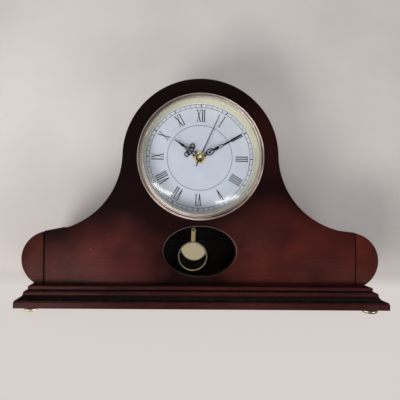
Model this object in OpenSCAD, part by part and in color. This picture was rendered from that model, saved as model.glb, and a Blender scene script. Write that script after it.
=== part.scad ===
// A tambour mantel clock with a battery movement and a pendulum behind an oval window.
// Millimetres. X points right, Y points back, Z points up, and the origin is on the
// surface that the clock stands on, under the middle of its base.

/* [Case] */
// Width of the front panel between the joints of the two end blocks
case_w = 371; // [360:1:400]
// Depth of the case from its front face to its back face
case_depth = 76; // [72:1:90]
// How far the front face of the case lies in front of the middle of the base
case_front = 35; // [33:0.5:42]
// Thickness of the front panel
front_t = 9; // [8:0.5:11]
// Thickness of the back panel and of its door
back_t = 6; // [4:0.5:8]
// Thickness of the bent skin over the top
skin_t = 4; // [3:0.5:6]
// Thickness of the floor board
floor_t = 7; // [5:0.5:8]
// Radius of the arch over the dial
arch_r = 93; // [90:0.5:98]
// Height of the centre of the arch over the ledge
arch_rise = 153; // [150:1:165]
// Radius of the hollow shoulders beside the arch
shoulder_r = 93.5; // [88:0.5:96]
// How far the centre of a shoulder lies above the centre of the arch
shoulder_lift = 4.2; // [2:0.1:8]
// Radius of the round end blocks
end_r = 33.5; // [32:0.5:35]
// Height of the centre of an end block over the ledge
end_rise = 30; // [29:0.1:31]
// How far the centre of an end block lies inside its joint
end_set_in = 6.5; // [3:0.1:8]
// Width that each side gives to the fine groove along a joint
joint_groove = 0.5; // [0.2:0.1:1]

/* [Base] */
// How far the plinth stands past the end blocks
plinth_out = 1; // [0.5:0.5:10]
// Depth of the plinth
base_depth = 110; // [106:1:130]
// Thickness of the plinth board
plinth_h = 7.8; // [7:0.1:12]
// Radius of the round on the top edge of the plinth
plinth_round = 1.8; // [0.6:0.1:2.5]
// Height of the hollow part of the moulding
cove_h = 6; // [5:0.1:7]
// Radius of the hollow
cove_r = 7.4; // [7.2:0.1:8]
// Width of the step between the plinth and the hollow
cove_step = 0.6; // [0.2:0.1:1.5]
// Height of the toe below the hollow
cove_toe = 0.5; // [0.3:0.1:1]
// Height of the round part of the moulding
ovolo_h = 4.1; // [3.5:0.1:6]
// How far the round part lies inside the edge of the plinth
ovolo_in = 8; // [7.9:0.1:9]
// Radius of the round part
ovolo_r = 2.6; // [1:0.1:3.4]
// Height of the sunk line under the ledge
quirk_h = 1; // [0.5:0.1:2]
// How far the ledge lies inside the edge of the plinth
ledge_in = 12.1; // [11:0.1:13]
// Depth of the sunk line under the ledge
quirk_in = 1.5; // [0.5:0.1:3]
// Thickness of the ledge board
ledge_h = 4.1; // [3:0.1:6]
// Radius of the round on the top edge of the ledge
ledge_round = 1.2; // [0.5:0.1:2]

/* [Feet and screws] */
// Height of a foot
foot_h = 5.5; // [3:0.1:7]
// Radius of a foot
foot_r = 8.2; // [6:0.1:9.5]
// Radius of the stem of a foot
foot_stem_r = 1.9; // [1.5:0.1:2.5]
// Length of the stem of a foot
foot_stem_l = 6; // [4:0.1:6.5]
// Distance of a foot from the end of the plinth
foot_in_x = 16.8; // [10:0.1:30]
// Distance of a foot from the front and back of the plinth
foot_in_y = 11; // [10:0.1:25]
// Radius of a base screw
base_screw_r = 2; // [1.5:0.1:2.5]
// Radius of the head of a base screw
base_screw_head_r = 4; // [3.5:0.1:5]
// Height of the head of a base screw
base_screw_head_h = 2.6; // [2:0.1:4]
// Distance of a base screw from the middle, along the clock
base_screw_x = 140; // [90:1:160]
// Distance between the two rows of base screws
base_screw_rows = 40; // [30:1:48]

/* [Window] */
// Width of the oval window
window_w = 87; // [78:0.5:90]
// Height of the oval window
window_h = 60; // [50:0.5:61]
// Height of the middle of the window over the ledge
window_rise = 40; // [39:0.5:42]
// Width of the bevel round the window
window_bevel = 1.4; // [0.6:0.1:2.5]
// Thickness of the pane
pane_t = 2; // [1.5:0.1:3]
// How far the pane reaches past the window at each side
pane_margin = 6.5; // [5:0.5:10]
// How far the pane reaches past the window at the top and bottom
pane_edge = 1.4; // [1:0.1:1.5]
// Width of a pane clip
clip_w = 8; // [5:0.5:12]
// Thickness of a pane clip
clip_t = 1.2; // [0.8:0.1:2]

/* [Dial] */
// Outer radius of the bezel
bezel_r = 75.8; // [75.5:0.1:80]
// Radius of the opening inside the lip of the bezel
lip_r = 68.1; // [67.2:0.1:68.6]
// Height of the bezel in front of the case
bezel_h = 8.8; // [8:0.1:11]
// Radius of the hole for the dial
dial_hole_r = 72; // [71.9:0.1:73]
// Rise of the domed glass
glass_rise = 9; // [6:0.5:12]
// Thickness of the glass
glass_t = 1.8; // [1.2:0.1:2.2]
// Radius of the reflector ring at the dial
reflector_r = 66.5; // [65.5:0.1:67]
// Thickness of the dial plate
dial_t = 0.6; // [0.4:0.1:1]
// Thickness of the dial pan
pan_t = 1.2; // [0.8:0.1:1.6]
// Radius of the dial pan
pan_r = 79; // [78:0.5:79.5]
// Radius of the circle of pan screws
pan_screw_circle_r = 75.5; // [75:0.1:76]
// Thickness of the print on the dial
print_t = 0.08; // [0.05:0.01:0.2]
// Angle that the dial is turned by in its hole, clockwise
dial_turn = 1.5; // [0:0.1:3]
// Inner radius of the minute track
track_in_r = 61.2; // [60.5:0.1:62]
// Outer radius of the minute track
track_out_r = 64.8; // [63.5:0.1:65]
// Radius of the inner circle
inner_ring_r = 39.5; // [35:0.1:41]
// Radius of the foot of the numerals
numeral_in_r = 43.9; // [42:0.1:46]
// Height of the numerals
numeral_h = 14.6; // [12:0.1:15.5]
// Width of a thin printed line
line_w = 0.5; // [0.25:0.01:0.7]
// Width of the thin strokes of the numerals
thin_w = 0.7; // [0.4:0.05:0.9]
// Width of a heavy printed line
heavy_w = 1.15; // [0.9:0.05:1.3]

/* [Hands] */
// Hour shown by the hands, in turns of the hour hand times twelve
shown_hour = 10.12; // [0:0.01:12]
// Minute shown by the minute hand
shown_minute = 10.03; // [0:0.01:60]
// Second shown by the second hand
shown_second = 3.8; // [0:0.1:60]
// Length of the hour hand
hour_l = 37.2; // [34:0.1:42]
// Length of the minute hand
minute_l = 56.2; // [50:0.1:60]
// Length of the second hand
second_l = 56; // [48:0.1:60]
// Length of the tail of the second hand
second_tail = 11.8; // [8:0.1:15]
// Thickness of the hour and minute hands
hand_t = 0.5; // [0.3:0.05:0.6]
// Width of the strokes of the pierced hands
stroke_w = 1.2; // [0.8:0.05:1.5]
// Radius of the domed cap on the second hand
cap_r = 4.1; // [3:0.1:5]

/* [Movement] */
// Half the width of the movement box
box_half = 28; // [27:0.5:30]
// Reach of the movement box above the hand shaft
box_up = 27; // [26:0.5:30]
// Reach of the movement box below the hand shaft
box_down = 29.5; // [29:0.5:32]
// Wall of the movement box
box_wall = 1.5; // [1:0.1:1.8]
// Radius of the threaded bush
bush_r = 4; // [3.8:0.1:4.5]
// Radius of the seconds arbor
arbor_r = 0.6; // [0.5:0.01:0.65]
// Outer radius of the minute tube
minute_tube_r = 1.7; // [1.5:0.05:1.75]
// Outer radius of the hour tube
hour_tube_r = 2.6; // [2.4:0.05:2.8]
// Running clearance on a radius
play = 0.07; // [0.05:0.01:0.09]
// Radius of the small pivots
pivot_r = 0.4; // [0.3:0.01:0.45]
// Width of the hexagonal nut across its flats
nut_w = 13; // [11:0.1:14]
// Height of the nut
nut_h = 2.1; // [1.5:0.1:2.3]
// Radius of the setting knob
knob_r = 6; // [5:0.1:7]
// Diameter of the battery
battery_d = 14.3; // [13.5:0.1:14.5]
// Length of the battery without its stud
battery_l = 49.2; // [48.5:0.1:49.5]

/* [Pendulum] */
// How far the pendulum hangs to the left of the middle
drive_left = 4.3; // [0:0.1:7]
// Height of the pendulum pivot over the ledge
pivot_rise = 118.5; // [116:0.5:120]
// Distance from the pivot to the middle of the bob
pendulum_l = 86.6; // [84:0.1:90]
// Radius of the bob
bob_r = 18.5; // [15:0.1:20]
// Rise of the domed face of the bob
bob_rise = 2; // [1:0.1:3]
// Thickness of the rim of the bob
bob_rim = 1.8; // [1.2:0.1:2.5]
// Width of the pendulum rod
rod_w = 5; // [3:0.1:7]
// Thickness of the pendulum rod
rod_t = 0.8; // [0.5:0.1:1.2]
// Angle at which the pendulum is shown, towards the left
lean = 1.8; // [0:0.1:6]

/* [Door] */
// Width of the door opening in the back
door_w = 110; // [90:1:130]
// Height of the door opening
door_h = 150; // [130:1:160]
// Height of the lower edge of the opening over the ledge
door_rise = 46.5; // [40:0.5:55]
// Gap round the door
door_gap = 0.6; // [0.4:0.1:1.5]
// Radius of a hinge knuckle
knuckle_r = 2; // [1.6:0.1:2.6]
// Radius of a hinge pin
hinge_pin_r = 1; // [0.7:0.05:1.2]
// Length of a hinge
hinge_l = 30; // [20:1:40]
// Thickness of a hinge leaf
leaf_t = 1.2; // [0.8:0.1:1.6]
// Width of a hinge leaf
leaf_w = 13; // [9:0.5:18]
// Radius of the door knob
door_knob_r = 6; // [4:0.5:8]
// Length of the door knob
door_knob_l = 11; // [8:0.5:12]

/* [Hidden] */
$fn = 64;

// Heights and depths of the case
plinth_top = foot_h + plinth_h;
ovolo_z = plinth_top + cove_h;
quirk_z = ovolo_z + ovolo_h;
ledge_z = quirk_z + quirk_h;
case_z = ledge_z + ledge_h;
front_y = -case_front;
panel_back_y = front_y + front_t;
back_y = front_y + case_depth;
back_in_y = back_y - back_t;
dial_z = case_z + arch_rise;
shoulder_z = dial_z + shoulder_lift;
shoulder_x = sqrt(pow(arch_r + shoulder_r, 2) - pow(shoulder_lift, 2));
end_x = case_w / 2 - end_set_in;
plinth_w = 2 * (end_x + end_r + plinth_out);
end_z = case_z + end_rise;
window_z = case_z + window_rise;
pane_y = panel_back_y + pane_t;
overshoot = 1;
hair = 0.05;

// Depths in front of the case face, along the axis of the dial
panel_back_a = -front_t;
pan_a = panel_back_a - pan_t;
dial_a = panel_back_a + dial_t;
washer_t = 0.8;
box_front_a = pan_a - washer_t;
room_a = box_front_a - box_wall;
room_depth = 13.5;
room_back_a = room_a - room_depth;
cover_t = 1.5;
cover_back_a = room_back_a - cover_t;
bush_end_a = dial_a + 2.6;
hour_tube_end_a = bush_end_a + 1.6;
hour_hand_a = hour_tube_end_a - 1;
minute_tube_end_a = hour_tube_end_a + 1.8;
minute_hand_a = minute_tube_end_a - 1.2;
second_hand_a = minute_tube_end_a + 0.4;
second_hand_t = 0.3;
cap_h = 2.6;
arbor_end_a = second_hand_a + 1.1;

// Layers of the train, counted back from the front wall of the room
hour_wheel_a = room_a - 1.5;
minute_wheel_a = room_a - 3.1;
centre_wheel_a = room_a - 5;
plate_a = room_a - 5.4;
plate_t = 0.8;
plate_left = 25;
plate_right = 15.5;
plate_down = 9.5;
plate_up = 25;
third_wheel_a = room_a - 7.4;
seconds_wheel_a = room_a - 9;
fast_wheel_a = room_a - 10.7;
wheel_t = 0.8;
boss_h = 1.4;
boss_a = room_back_a + boss_h;
stator_a = room_a - 7.8;
stator_t = 0.7;

// Tooth counts and tooth modules
cannon_n = 12;
minute_n = 36;
cannon_m = 0.375;
hour_pinion_n = 12;
hour_n = 48;
hour_m = 0.3;
seconds_n = 32;
seconds_m = 0.36;
small_n = 8;
fast_n = 60;
fast_m = 0.2;
third_n = 60;
centre_n = 64;
third_gap = 8.6;
third_m = 2 * third_gap / (small_n + third_n);
centre_m = 2 * third_gap / (small_n + centre_n);

// Places of the arbors round the hand shaft, as a distance and a direction
function polar(r, turn) = [r * cos(turn), r * sin(turn)];
minute_dir = 120;
third_dir = 180;
fast_dir = 60;
rotor_dir = 30;
minute_at = polar(cannon_m * (cannon_n + minute_n) / 2, minute_dir);
third_at = polar(third_gap, third_dir);
fast_at = polar(seconds_m * (seconds_n + small_n) / 2, fast_dir);
rotor_at = fast_at + polar(fast_m * (fast_n + small_n) / 2, rotor_dir);

// Turn of wheel B that puts its gap on a tooth of wheel A, where B lies in direction dir from A
function meshed(dir, n_a, turn_a, n_b) =
    dir + 180 - 360 / n_b * (0.5 - (dir - turn_a) * n_a / 360);
minute_turn = meshed(minute_dir, cannon_n, 0, minute_n);
hour_turn = meshed(minute_dir + 180, hour_pinion_n, minute_turn, hour_n);
fast_turn = meshed(fast_dir, seconds_n, 0, small_n);
rotor_turn = meshed(rotor_dir, fast_n, fast_turn, small_n);
third_turn = meshed(third_dir, small_n, 0, third_n);
centre_turn = meshed(third_dir + 180, small_n, third_turn, centre_n);

// Pendulum drive
drive_half = 20;
drive_wall = 1.5;
drive_h = 50;
drive_top_z = dial_z - box_down;
drive_front_y = front_y - box_front_a;
drive_back_y = front_y - cover_back_a;
pivot_z = case_z + pivot_rise;
swing_y = front_y + 20;
lever_t = 2;
magnet_drop = 35;
magnet_r = 5;
magnet_t = 1;
drive_coil_r = 8;
drive_coil_gap = 0.5;
pendulum_pin_r = 1.2;
hook_drop = 54;
lever_l = hook_drop + 4;
lever_eye_r = 3;
hook_r = 1;

// Battery room
battery_wall_y = -11.5;
battery_floor_y = -box_down + box_wall;
battery_room_top = battery_wall_y - box_wall;
battery_y = (battery_floor_y + battery_room_top) / 2;
battery_a = room_a - 0.25 - battery_d / 2;
stud_r = 2.75;
stud_l = 1.3;
contact_t = 0.5;
contact_h = 11;
contact_d = 10;

// Door
door_z = case_z + door_rise;
hinge_x = -door_w / 2;
hinge_y = back_y + knuckle_r + 0.2;
catch_z = door_z + door_h / 2;

wood = [0.24, 0.09, 0.06];
dark_wood = [0.16, 0.06, 0.04];
brass = [0.85, 0.68, 0.3];
steel = [0.7, 0.7, 0.72];
black = [0.05, 0.05, 0.06];
plastic = [0.12, 0.12, 0.13];
white_nylon = [0.9, 0.9, 0.86];

// Places a front view: X to the right, Y up, Z towards the viewer from the case face
module on_dial() {
    translate([0, front_y, dial_z]) rotate([90, 0, 0]) children();
}

// A plate of the given front view between two depths in front of the case face
module slab(back_a, front_a) {
    translate([0, 0, back_a]) linear_extrude(height = front_a - back_a) children();
}

// A plate drawn in X and Z that stands between two depths
module standing(y0, y1) {
    translate([0, y1, 0]) rotate([90, 0, 0]) linear_extrude(height = y1 - y0) children();
}

// A round rod between two depths
module rod(back_a, front_a, r) {
    translate([0, 0, back_a]) cylinder(h = front_a - back_a, r = r);
}

// A ring between two depths
module ring(back_a, front_a, r_in, r_out) {
    difference() {
        rod(back_a, front_a, r_out);
        rod(back_a - overshoot, front_a + overshoot, r_in);
    }
}

// Front view of the case body, drawn in by inset along its curved top
module case_outline(inset) {
    top_z = dial_z + shoulder_lift * (arch_r - inset) / (arch_r + shoulder_r);
    difference() {
        translate([-case_w / 2, case_z]) square([case_w, top_z - case_z]);
        for (side = [-1, 1])
            translate([side * shoulder_x, shoulder_z]) circle(r = shoulder_r + inset, $fn = 180);
    }
    translate([0, dial_z]) circle(r = arch_r - inset, $fn = 180);
}

// An oval as a polygon of even steps
function oval(rx, ry, steps) = [for (i = [0:steps - 1]) [rx * cos(360 * i / steps), ry * sin(360 * i / steps)]];

// Cuts a fine groove along both joints of the front
module joint_grooves() {
    for (side = [-1, 1])
        translate([side * case_w / 2 - joint_groove, front_y - overshoot, case_z - overshoot])
            cube([2 * joint_groove, overshoot + 2 * joint_groove, arch_rise]);
}

module at_pan_screws() {
    for (i = [0:3])
        rotate([0, 0, 45 + 90 * i]) translate([pan_screw_circle_r, 0, 0]) children();
}

pan_screw_r = 1.2;
pan_screw_l = 5;

module front_panel() {
    color(wood) difference() {
        standing(front_y, panel_back_y) case_outline(0);
        on_dial() rod(panel_back_a - overshoot, overshoot, dial_hole_r);
        translate([0, front_y - overshoot, window_z]) rotate([-90, 0, 0])
            scale([window_w / window_h, 1, 1])
                cylinder(h = front_t + 2 * overshoot, r = window_h / 2, $fn = 120);
        translate([0, front_y, window_z]) rotate([-90, 0, 0])
            scale([window_w / window_h, 1, 1])
                translate([0, 0, -overshoot])
                    cylinder(h = window_bevel + overshoot, r1 = window_h / 2 + window_bevel + overshoot,
                        r2 = window_h / 2, $fn = 120);
        on_dial() at_pan_screws() rod(panel_back_a - overshoot, panel_back_a + pan_screw_l, pan_screw_r + hair);
        joint_grooves();
    }
}

module back_panel() {
    color(wood) difference() {
        standing(back_in_y, back_y) case_outline(0);
        translate([-door_w / 2, back_in_y - overshoot, door_z])
            cube([door_w, back_t + 2 * overshoot, door_h]);
    }
}

module top_skin() {
    color(wood) standing(panel_back_y, back_in_y) difference() {
        case_outline(0);
        case_outline(skin_t);
    }
}

module end_block(side) {
    difference() {
        standing(front_y, back_y) intersection() {
            translate([side * end_x, end_z]) circle(r = end_r, $fn = 120);
            translate([side > 0 ? case_w / 2 : -case_w / 2 - 2 * end_r, case_z]) square(2 * end_r);
        }
        joint_grooves();
    }
}

module left_end_block() {
    color(wood) end_block(-1);
}

module right_end_block() {
    color(wood) end_block(1);
}

module at_base_screws() {
    for (x = [-base_screw_x, base_screw_x])
        for (y = [-base_screw_rows / 2, base_screw_rows / 2])
            translate([x, (panel_back_y + back_in_y) / 2 + y, 0]) children();
}

module base_screw_holes() {
    at_base_screws() cylinder(h = case_z + floor_t + overshoot, r = base_screw_r + hair, $fn = 32);
}

module case_floor() {
    color(dark_wood) difference() {
        translate([-case_w / 2, panel_back_y, case_z]) cube([case_w, back_in_y - panel_back_y, floor_t]);
        at_base_screws() translate([0, 0, case_z - overshoot])
            cylinder(h = floor_t - 1 + overshoot, r = base_screw_r + hair, $fn = 32);
    }
}

// Section of a board of width w with its top corners rounded
module round_topped(w, z0, h, r) {
    translate([-w / 2, z0]) square([w, h - r]);
    translate([-w / 2 + r, z0]) square([w - 2 * r, h]);
    for (side = [-1, 1]) translate([side * (w / 2 - r), z0 + h - r]) circle(r = r, $fn = 48);
}

// Runs a section round the base: it is the part that both directions share
module round_the_base() {
    intersection() {
        rotate([90, 0, 0]) translate([0, 0, -base_depth]) linear_extrude(height = 2 * base_depth) children(0);
        rotate([90, 0, 90]) translate([0, 0, -plinth_w]) linear_extrude(height = 2 * plinth_w) children(1);
    }
}

module ledge_section(w) {
    round_topped(w - 2 * ledge_in, ledge_z, ledge_h, ledge_round);
}

module ledge_board() {
    color(wood) difference() {
        round_the_base() {
            ledge_section(plinth_w);
            ledge_section(base_depth);
        }
        base_screw_holes();
    }
}

module cove_section(w) {
    foot_w = w - 2 * cove_step;
    difference() {
        translate([-foot_w / 2, plinth_top]) square([foot_w, cove_h]);
        for (side = [-1, 1])
            translate([side * foot_w / 2, plinth_top + cove_toe + cove_r]) circle(r = cove_r, $fn = 64);
    }
    round_topped(w - 2 * ovolo_in, ovolo_z, ovolo_h, ovolo_r);
    quirk_w = w - 2 * (ledge_in + quirk_in);
    translate([-quirk_w / 2, quirk_z - overshoot]) square([quirk_w, quirk_h + overshoot]);
}

module cove_moulding() {
    color(wood) difference() {
        round_the_base() {
            cove_section(plinth_w);
            cove_section(base_depth);
        }
        base_screw_holes();
    }
}

module plinth_section(w) {
    round_topped(w, foot_h, plinth_h, plinth_round);
}

module at_foot(side, end) {
    translate([side * (plinth_w / 2 - foot_in_x), end * (base_depth / 2 - foot_in_y), 0]) children();
}

module plinth_board() {
    color(wood) difference() {
        round_the_base() {
            plinth_section(plinth_w);
            plinth_section(base_depth);
        }
        base_screw_holes();
        at_base_screws() translate([0, 0, foot_h - overshoot])
            cylinder(h = base_screw_head_h + overshoot, r = base_screw_head_r + hair, $fn = 32);
        for (side = [-1, 1])
            for (end = [-1, 1])
                at_foot(side, end) translate([0, 0, foot_h - overshoot])
                    cylinder(h = foot_stem_l + 0.3 + overshoot, r = foot_stem_r + hair, $fn = 32);
    }
}

module foot() {
    edge_r = foot_h * 0.46;
    rotate_extrude($fn = 64) {
        square([foot_r - edge_r, foot_h]);
        intersection() {
            translate([foot_r - edge_r, foot_h / 2]) circle(r = edge_r, $fn = 48);
            square([foot_r, foot_h]);
        }
    }
    translate([0, 0, foot_h - hair]) cylinder(h = foot_stem_l + hair, r = foot_stem_r, $fn = 32);
}

module foot_front_left() {
    color(brass) at_foot(-1, -1) foot();
}

module foot_front_right() {
    color(brass) at_foot(1, -1) foot();
}

module foot_rear_left() {
    color(brass) at_foot(-1, 1) foot();
}

module foot_rear_right() {
    color(brass) at_foot(1, 1) foot();
}

module base_screws() {
    color(steel) at_base_screws() difference() {
        union() {
            translate([0, 0, foot_h + 0.2])
                cylinder(h = base_screw_head_h - 0.2, r = base_screw_head_r, $fn = 32);
            translate([0, 0, foot_h + base_screw_head_h - hair])
                cylinder(h = case_z + floor_t - 1.5 - foot_h - base_screw_head_h, r = base_screw_r, $fn = 32);
        }
        translate([-base_screw_head_r, -0.5, 0]) cube([2 * base_screw_head_r, 1, foot_h + 1.2]);
    }
}

module window_pane() {
    half_w = window_w / 2 + pane_margin;
    half_h = window_h / 2 + pane_edge;
    color([0.2, 0.2, 0.2, 0.3]) translate([-half_w, panel_back_y, window_z - half_h])
        cube([2 * half_w, pane_t, 2 * half_h]);
}

// Each clip screws to the panel beside the pane and laps over its edge
module pane_clips() {
    lap = 4;
    reach = 10;
    edge_x = window_w / 2 + pane_margin;
    color(brass) for (side = [-1, 1])
        for (end = [-1, 1])
            translate([0, 0, window_z + end * window_h / 3 - clip_w / 2])
                mirror([side < 0 ? 1 : 0, 0, 0]) {
                    translate([edge_x - lap, pane_y, 0]) cube([lap + reach, clip_t, clip_w]);
                    translate([edge_x + hair, panel_back_y, 0]) cube([reach - hair, pane_t + hair, clip_w]);
                    translate([edge_x + reach / 2 + 0.5, pane_y + clip_t - hair, clip_w / 2])
                        rotate([-90, 0, 0]) cylinder(h = 1, r = 2, $fn = 24);
                }
}

// Radii and depths that the bezel, glass and reflector share
glass_edge_a = bezel_h - 1.6;
glass_seat_r = lip_r + 1.8;
skirt_out_r = dial_hole_r - 0.3;
skirt_in_r = skirt_out_r - 1.1;

module bezel() {
    section = [
        [bezel_r, 0], [bezel_r, 1.5], [bezel_r - 0.3, 2.1], [bezel_r - 0.9, 2.4], [bezel_r - 1.4, 2.1],
        [bezel_r - 1.7, 1.6], [bezel_r - 2, 1.8], [bezel_r - 2.5, 3.4], [bezel_r - 3.2, 4.9],
        [bezel_r - 4.1, 6.2], [bezel_r - 4.6, 6.7], [bezel_r - 4.9, 6.4], [bezel_r - 5.2, 6.6],
        [lip_r + 2, bezel_h - 1.1], [lip_r + 1.3, bezel_h - 0.3], [lip_r + 0.7, bezel_h],
        [lip_r + 0.2, bezel_h - 0.3], [lip_r, bezel_h - 0.9], [lip_r, glass_edge_a],
        [glass_seat_r + hair, glass_edge_a], [glass_seat_r + hair, glass_edge_a - 3],
        [skirt_in_r, glass_edge_a - 4.5], [skirt_in_r, panel_back_a], [skirt_out_r, panel_back_a],
        [skirt_out_r, 0]
    ];
    color(brass) on_dial() rotate_extrude($fn = 180) polygon(section);
}

glass_flange_t = 1.9;

module bezel_glass() {
    rim_r = lip_r - 0.5;
    sphere_r = (rim_r * rim_r + glass_rise * glass_rise) / (2 * glass_rise);
    centre_a = glass_edge_a + glass_rise - sphere_r;
    color([0.8, 0.9, 0.95, 0.3]) on_dial() {
        intersection() {
            difference() {
                translate([0, 0, centre_a]) sphere(r = sphere_r, $fn = 128);
                translate([0, 0, centre_a]) sphere(r = sphere_r - glass_t, $fn = 128);
            }
            rod(glass_edge_a - glass_flange_t, glass_edge_a + 2 * glass_rise, rim_r - hair);
        }
        ring(glass_edge_a - glass_flange_t, glass_edge_a, rim_r - 1.5, glass_seat_r);
    }
}

module reflector_ring() {
    top_a = glass_edge_a - glass_flange_t;
    color([0.85, 0.84, 0.7]) on_dial() rotate_extrude($fn = 180) polygon([
        [reflector_r, dial_a], [reflector_r + 1.2, dial_a], [reflector_r + 1.9, top_a - 2],
        [glass_seat_r, top_a - 1], [glass_seat_r, top_a], [lip_r + 0.1, top_a]
    ]);
}

module dial_plate() {
    color([0.8, 0.81, 0.85]) on_dial() ring(panel_back_a, dial_a, bush_r + hair, skirt_in_r - 0.4);
}

// A printed stroke with level ends, from x0 at the foot to x1 at the top
module stroke(x0, x1, w) {
    polygon([[x0 - w / 2, 0], [x0 + w / 2, 0], [x1 + w / 2, numeral_h], [x1 - w / 2, numeral_h]]);
}

// Short serifs at both ends of a stroke
module serifs(x0, x1, w) {
    translate([x0 - w / 2, 0]) square([w, line_w]);
    translate([x1 - w / 2, numeral_h - line_w]) square([w, line_w]);
}

one_w = 2.5;
five_w = 5.6;
ten_w = 6.2;

function sign_width(sign) = sign == "X" ? ten_w : sign == "V" ? five_w : one_w;

function width_to(word, i) = i == 0 ? 0 : width_to(word, i - 1) + sign_width(word[i - 1]);

module sign_shape(sign) {
    w = sign_width(sign);
    if (sign == "I") {
        stroke(w / 2, w / 2, heavy_w);
        serifs(w / 2, w / 2, w + hair);
    }
    if (sign == "V") {
        stroke(w / 2, heavy_w, heavy_w);
        stroke(w / 2, w - heavy_w, thin_w);
        translate([heavy_w - one_w / 2, numeral_h - line_w]) square([one_w, line_w]);
        translate([w - heavy_w - one_w / 2, numeral_h - line_w]) square([one_w, line_w]);
    }
    if (sign == "X") {
        stroke(w - heavy_w, heavy_w, heavy_w);
        stroke(heavy_w, w - heavy_w, thin_w);
        for (x = [heavy_w, w - heavy_w]) serifs(x, x, one_w);
    }
}

module numeral(word) {
    translate([-width_to(word, len(word)) / 2, numeral_in_r])
        for (i = [0:len(word) - 1])
            translate([width_to(word, i), 0]) sign_shape(word[i]);
}

module line_ring(r) {
    difference() {
        circle(r = r + line_w / 2, $fn = 180);
        circle(r = r - line_w / 2, $fn = 180);
    }
}

module dial_print() {
    words = ["XII", "I", "II", "III", "IIII", "V", "VI", "VII", "VIII", "IX", "X", "XI"];
    color(black) on_dial() slab(dial_a, dial_a + print_t) {
        line_ring(inner_ring_r);
        line_ring(track_in_r);
        line_ring(track_out_r);
        for (i = [0:59]) {
            w = i % 5 == 0 ? heavy_w : line_w;
            rotate(-6 * i - dial_turn) translate([-w / 2, track_in_r]) square([w, track_out_r - track_in_r]);
        }
        for (i = [0:11]) rotate(-30 * i - dial_turn) numeral(words[i]);
    }
}

module dial_pan() {
    color(steel) on_dial() difference() {
        rod(pan_a, panel_back_a, pan_r);
        rod(pan_a - overshoot, overshoot, bush_r + hair);
        at_pan_screws() rod(pan_a - overshoot, overshoot, pan_screw_r + hair);
    }
}

module pan_screws() {
    head_h = 1.4;
    color(steel) on_dial() at_pan_screws() {
        rod(pan_a - hair, panel_back_a + pan_screw_l - 0.5, pan_screw_r);
        difference() {
            rod(pan_a - head_h, pan_a, 2.6);
            translate([-3, -0.35, pan_a - head_h - overshoot]) cube([6, 0.7, 0.7 + overshoot]);
        }
    }
}

// An open loop of the pierced hands
module loop(at, rx, ry, w) {
    translate(at) difference() {
        polygon(oval(rx + w / 2, ry + w / 2, 28));
        polygon(oval(rx - w / 2, ry - w / 2, 28));
    }
}

// A tapering bar between two points
module taper(from, to, w0, w1) {
    along = to - from;
    side = [-along[1], along[0]] / norm(along) / 2;
    polygon([from + side * w0, from - side * w0, to - side * w1, to + side * w1]);
}

hub_r = 5.2;
prong_w = 0.9;

module hour_shape() {
    ring_r = 2.5;
    ear_r = 2.8;
    circle(r = hub_r, $fn = 48);
    for (side = [-1, 1]) {
        taper([side * 1, 4], [side * 1.7, 8.4], 1.2, prong_w);
        taper([side * 1.7, 8.4], [side * 0.5, 12.4], prong_w, 1.2);
        taper([side * 1.5, 7], [side * 3.2, 7.8], prong_w, prong_w);
        translate([side * 3.2, 7.8]) circle(r = 0.95, $fn = 24);
        loop([side * ring_r, 13.8], ring_r, ring_r, stroke_w);
        loop([side * 5.8, 15.2], ear_r, ear_r, stroke_w);
        taper([side * 2.6, 16.2], [side * 0.8, 19.2], stroke_w, stroke_w);
    }
    loop([0, 20], 1.4, 1.9, stroke_w);
    polygon([[-0.8, 21.6], [-0.8, 23], [-1.6, 24.2], [-1.2, 26.5], [-0.4, hour_l], [0.4, hour_l], [1.2, 26.5],
        [1.6, 24.2], [0.8, 23], [0.8, 21.6]]);
}

module minute_shape() {
    eye_y = 13.8;
    eye_r = 4.8;
    oval_y = 28.2;
    circle(r = hub_r - 0.4, $fn = 48);
    loop([0, 7.4], 1.5, 2.2, stroke_w);
    loop([0, eye_y], 3.5, eye_r, stroke_w);
    translate([0.5, eye_y - 1]) circle(r = 1.3, $fn = 24);
    taper([0.5, eye_y - 1], [-1.3, eye_y + 1.6], stroke_w, stroke_w);
    taper([-1.3, eye_y + 1.6], [0, eye_y + eye_r], stroke_w, stroke_w);
    translate([0, eye_y + eye_r - 0.8])
        polygon([[-1.3, 0], [-1.1, 2.2], [-2.2, 3.2], [-1.4, 4.4], [-2.2, 5.8], [-1.1, 7.4], [1.1, 7.4],
            [2.2, 5.8], [1.4, 4.4], [2.2, 3.2], [1.1, 2.2], [1.3, 0]]);
    loop([0, oval_y], 1.5, 3.3, 0.9);
    polygon([[-0.6, 31], [-1.1, 33], [-0.4, minute_l], [0.4, minute_l], [1.1, 33], [0.6, 31]]);
}

module hour_hand() {
    color(black) on_dial() rotate([0, 0, -30 * shown_hour - dial_turn]) difference() {
        union() {
            slab(hour_hand_a, hour_hand_a + hand_t) hour_shape();
            rod(hour_hand_a, hour_tube_end_a, hour_tube_r + 0.9);
        }
        rod(hour_hand_a - overshoot, hour_tube_end_a + overshoot, hour_tube_r + hair / 2);
    }
}

module minute_hand() {
    color(black) on_dial() rotate([0, 0, -6 * shown_minute - dial_turn]) difference() {
        union() {
            slab(minute_hand_a, minute_hand_a + hand_t) minute_shape();
            rod(minute_hand_a, minute_tube_end_a, minute_tube_r + 0.9);
        }
        rod(minute_hand_a - overshoot, minute_tube_end_a + overshoot, minute_tube_r);
    }
}

module second_hand() {
    color(black) on_dial() rotate([0, 0, -6 * shown_second - dial_turn]) difference() {
        slab(second_hand_a, second_hand_a + second_hand_t) union() {
            circle(r = 2.4, $fn = 32);
            taper([0, -second_tail], [0, second_l], 1.4, 0.8);
        }
        rod(second_hand_a - overshoot, second_hand_a + overshoot, arbor_r);
    }
}

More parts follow.
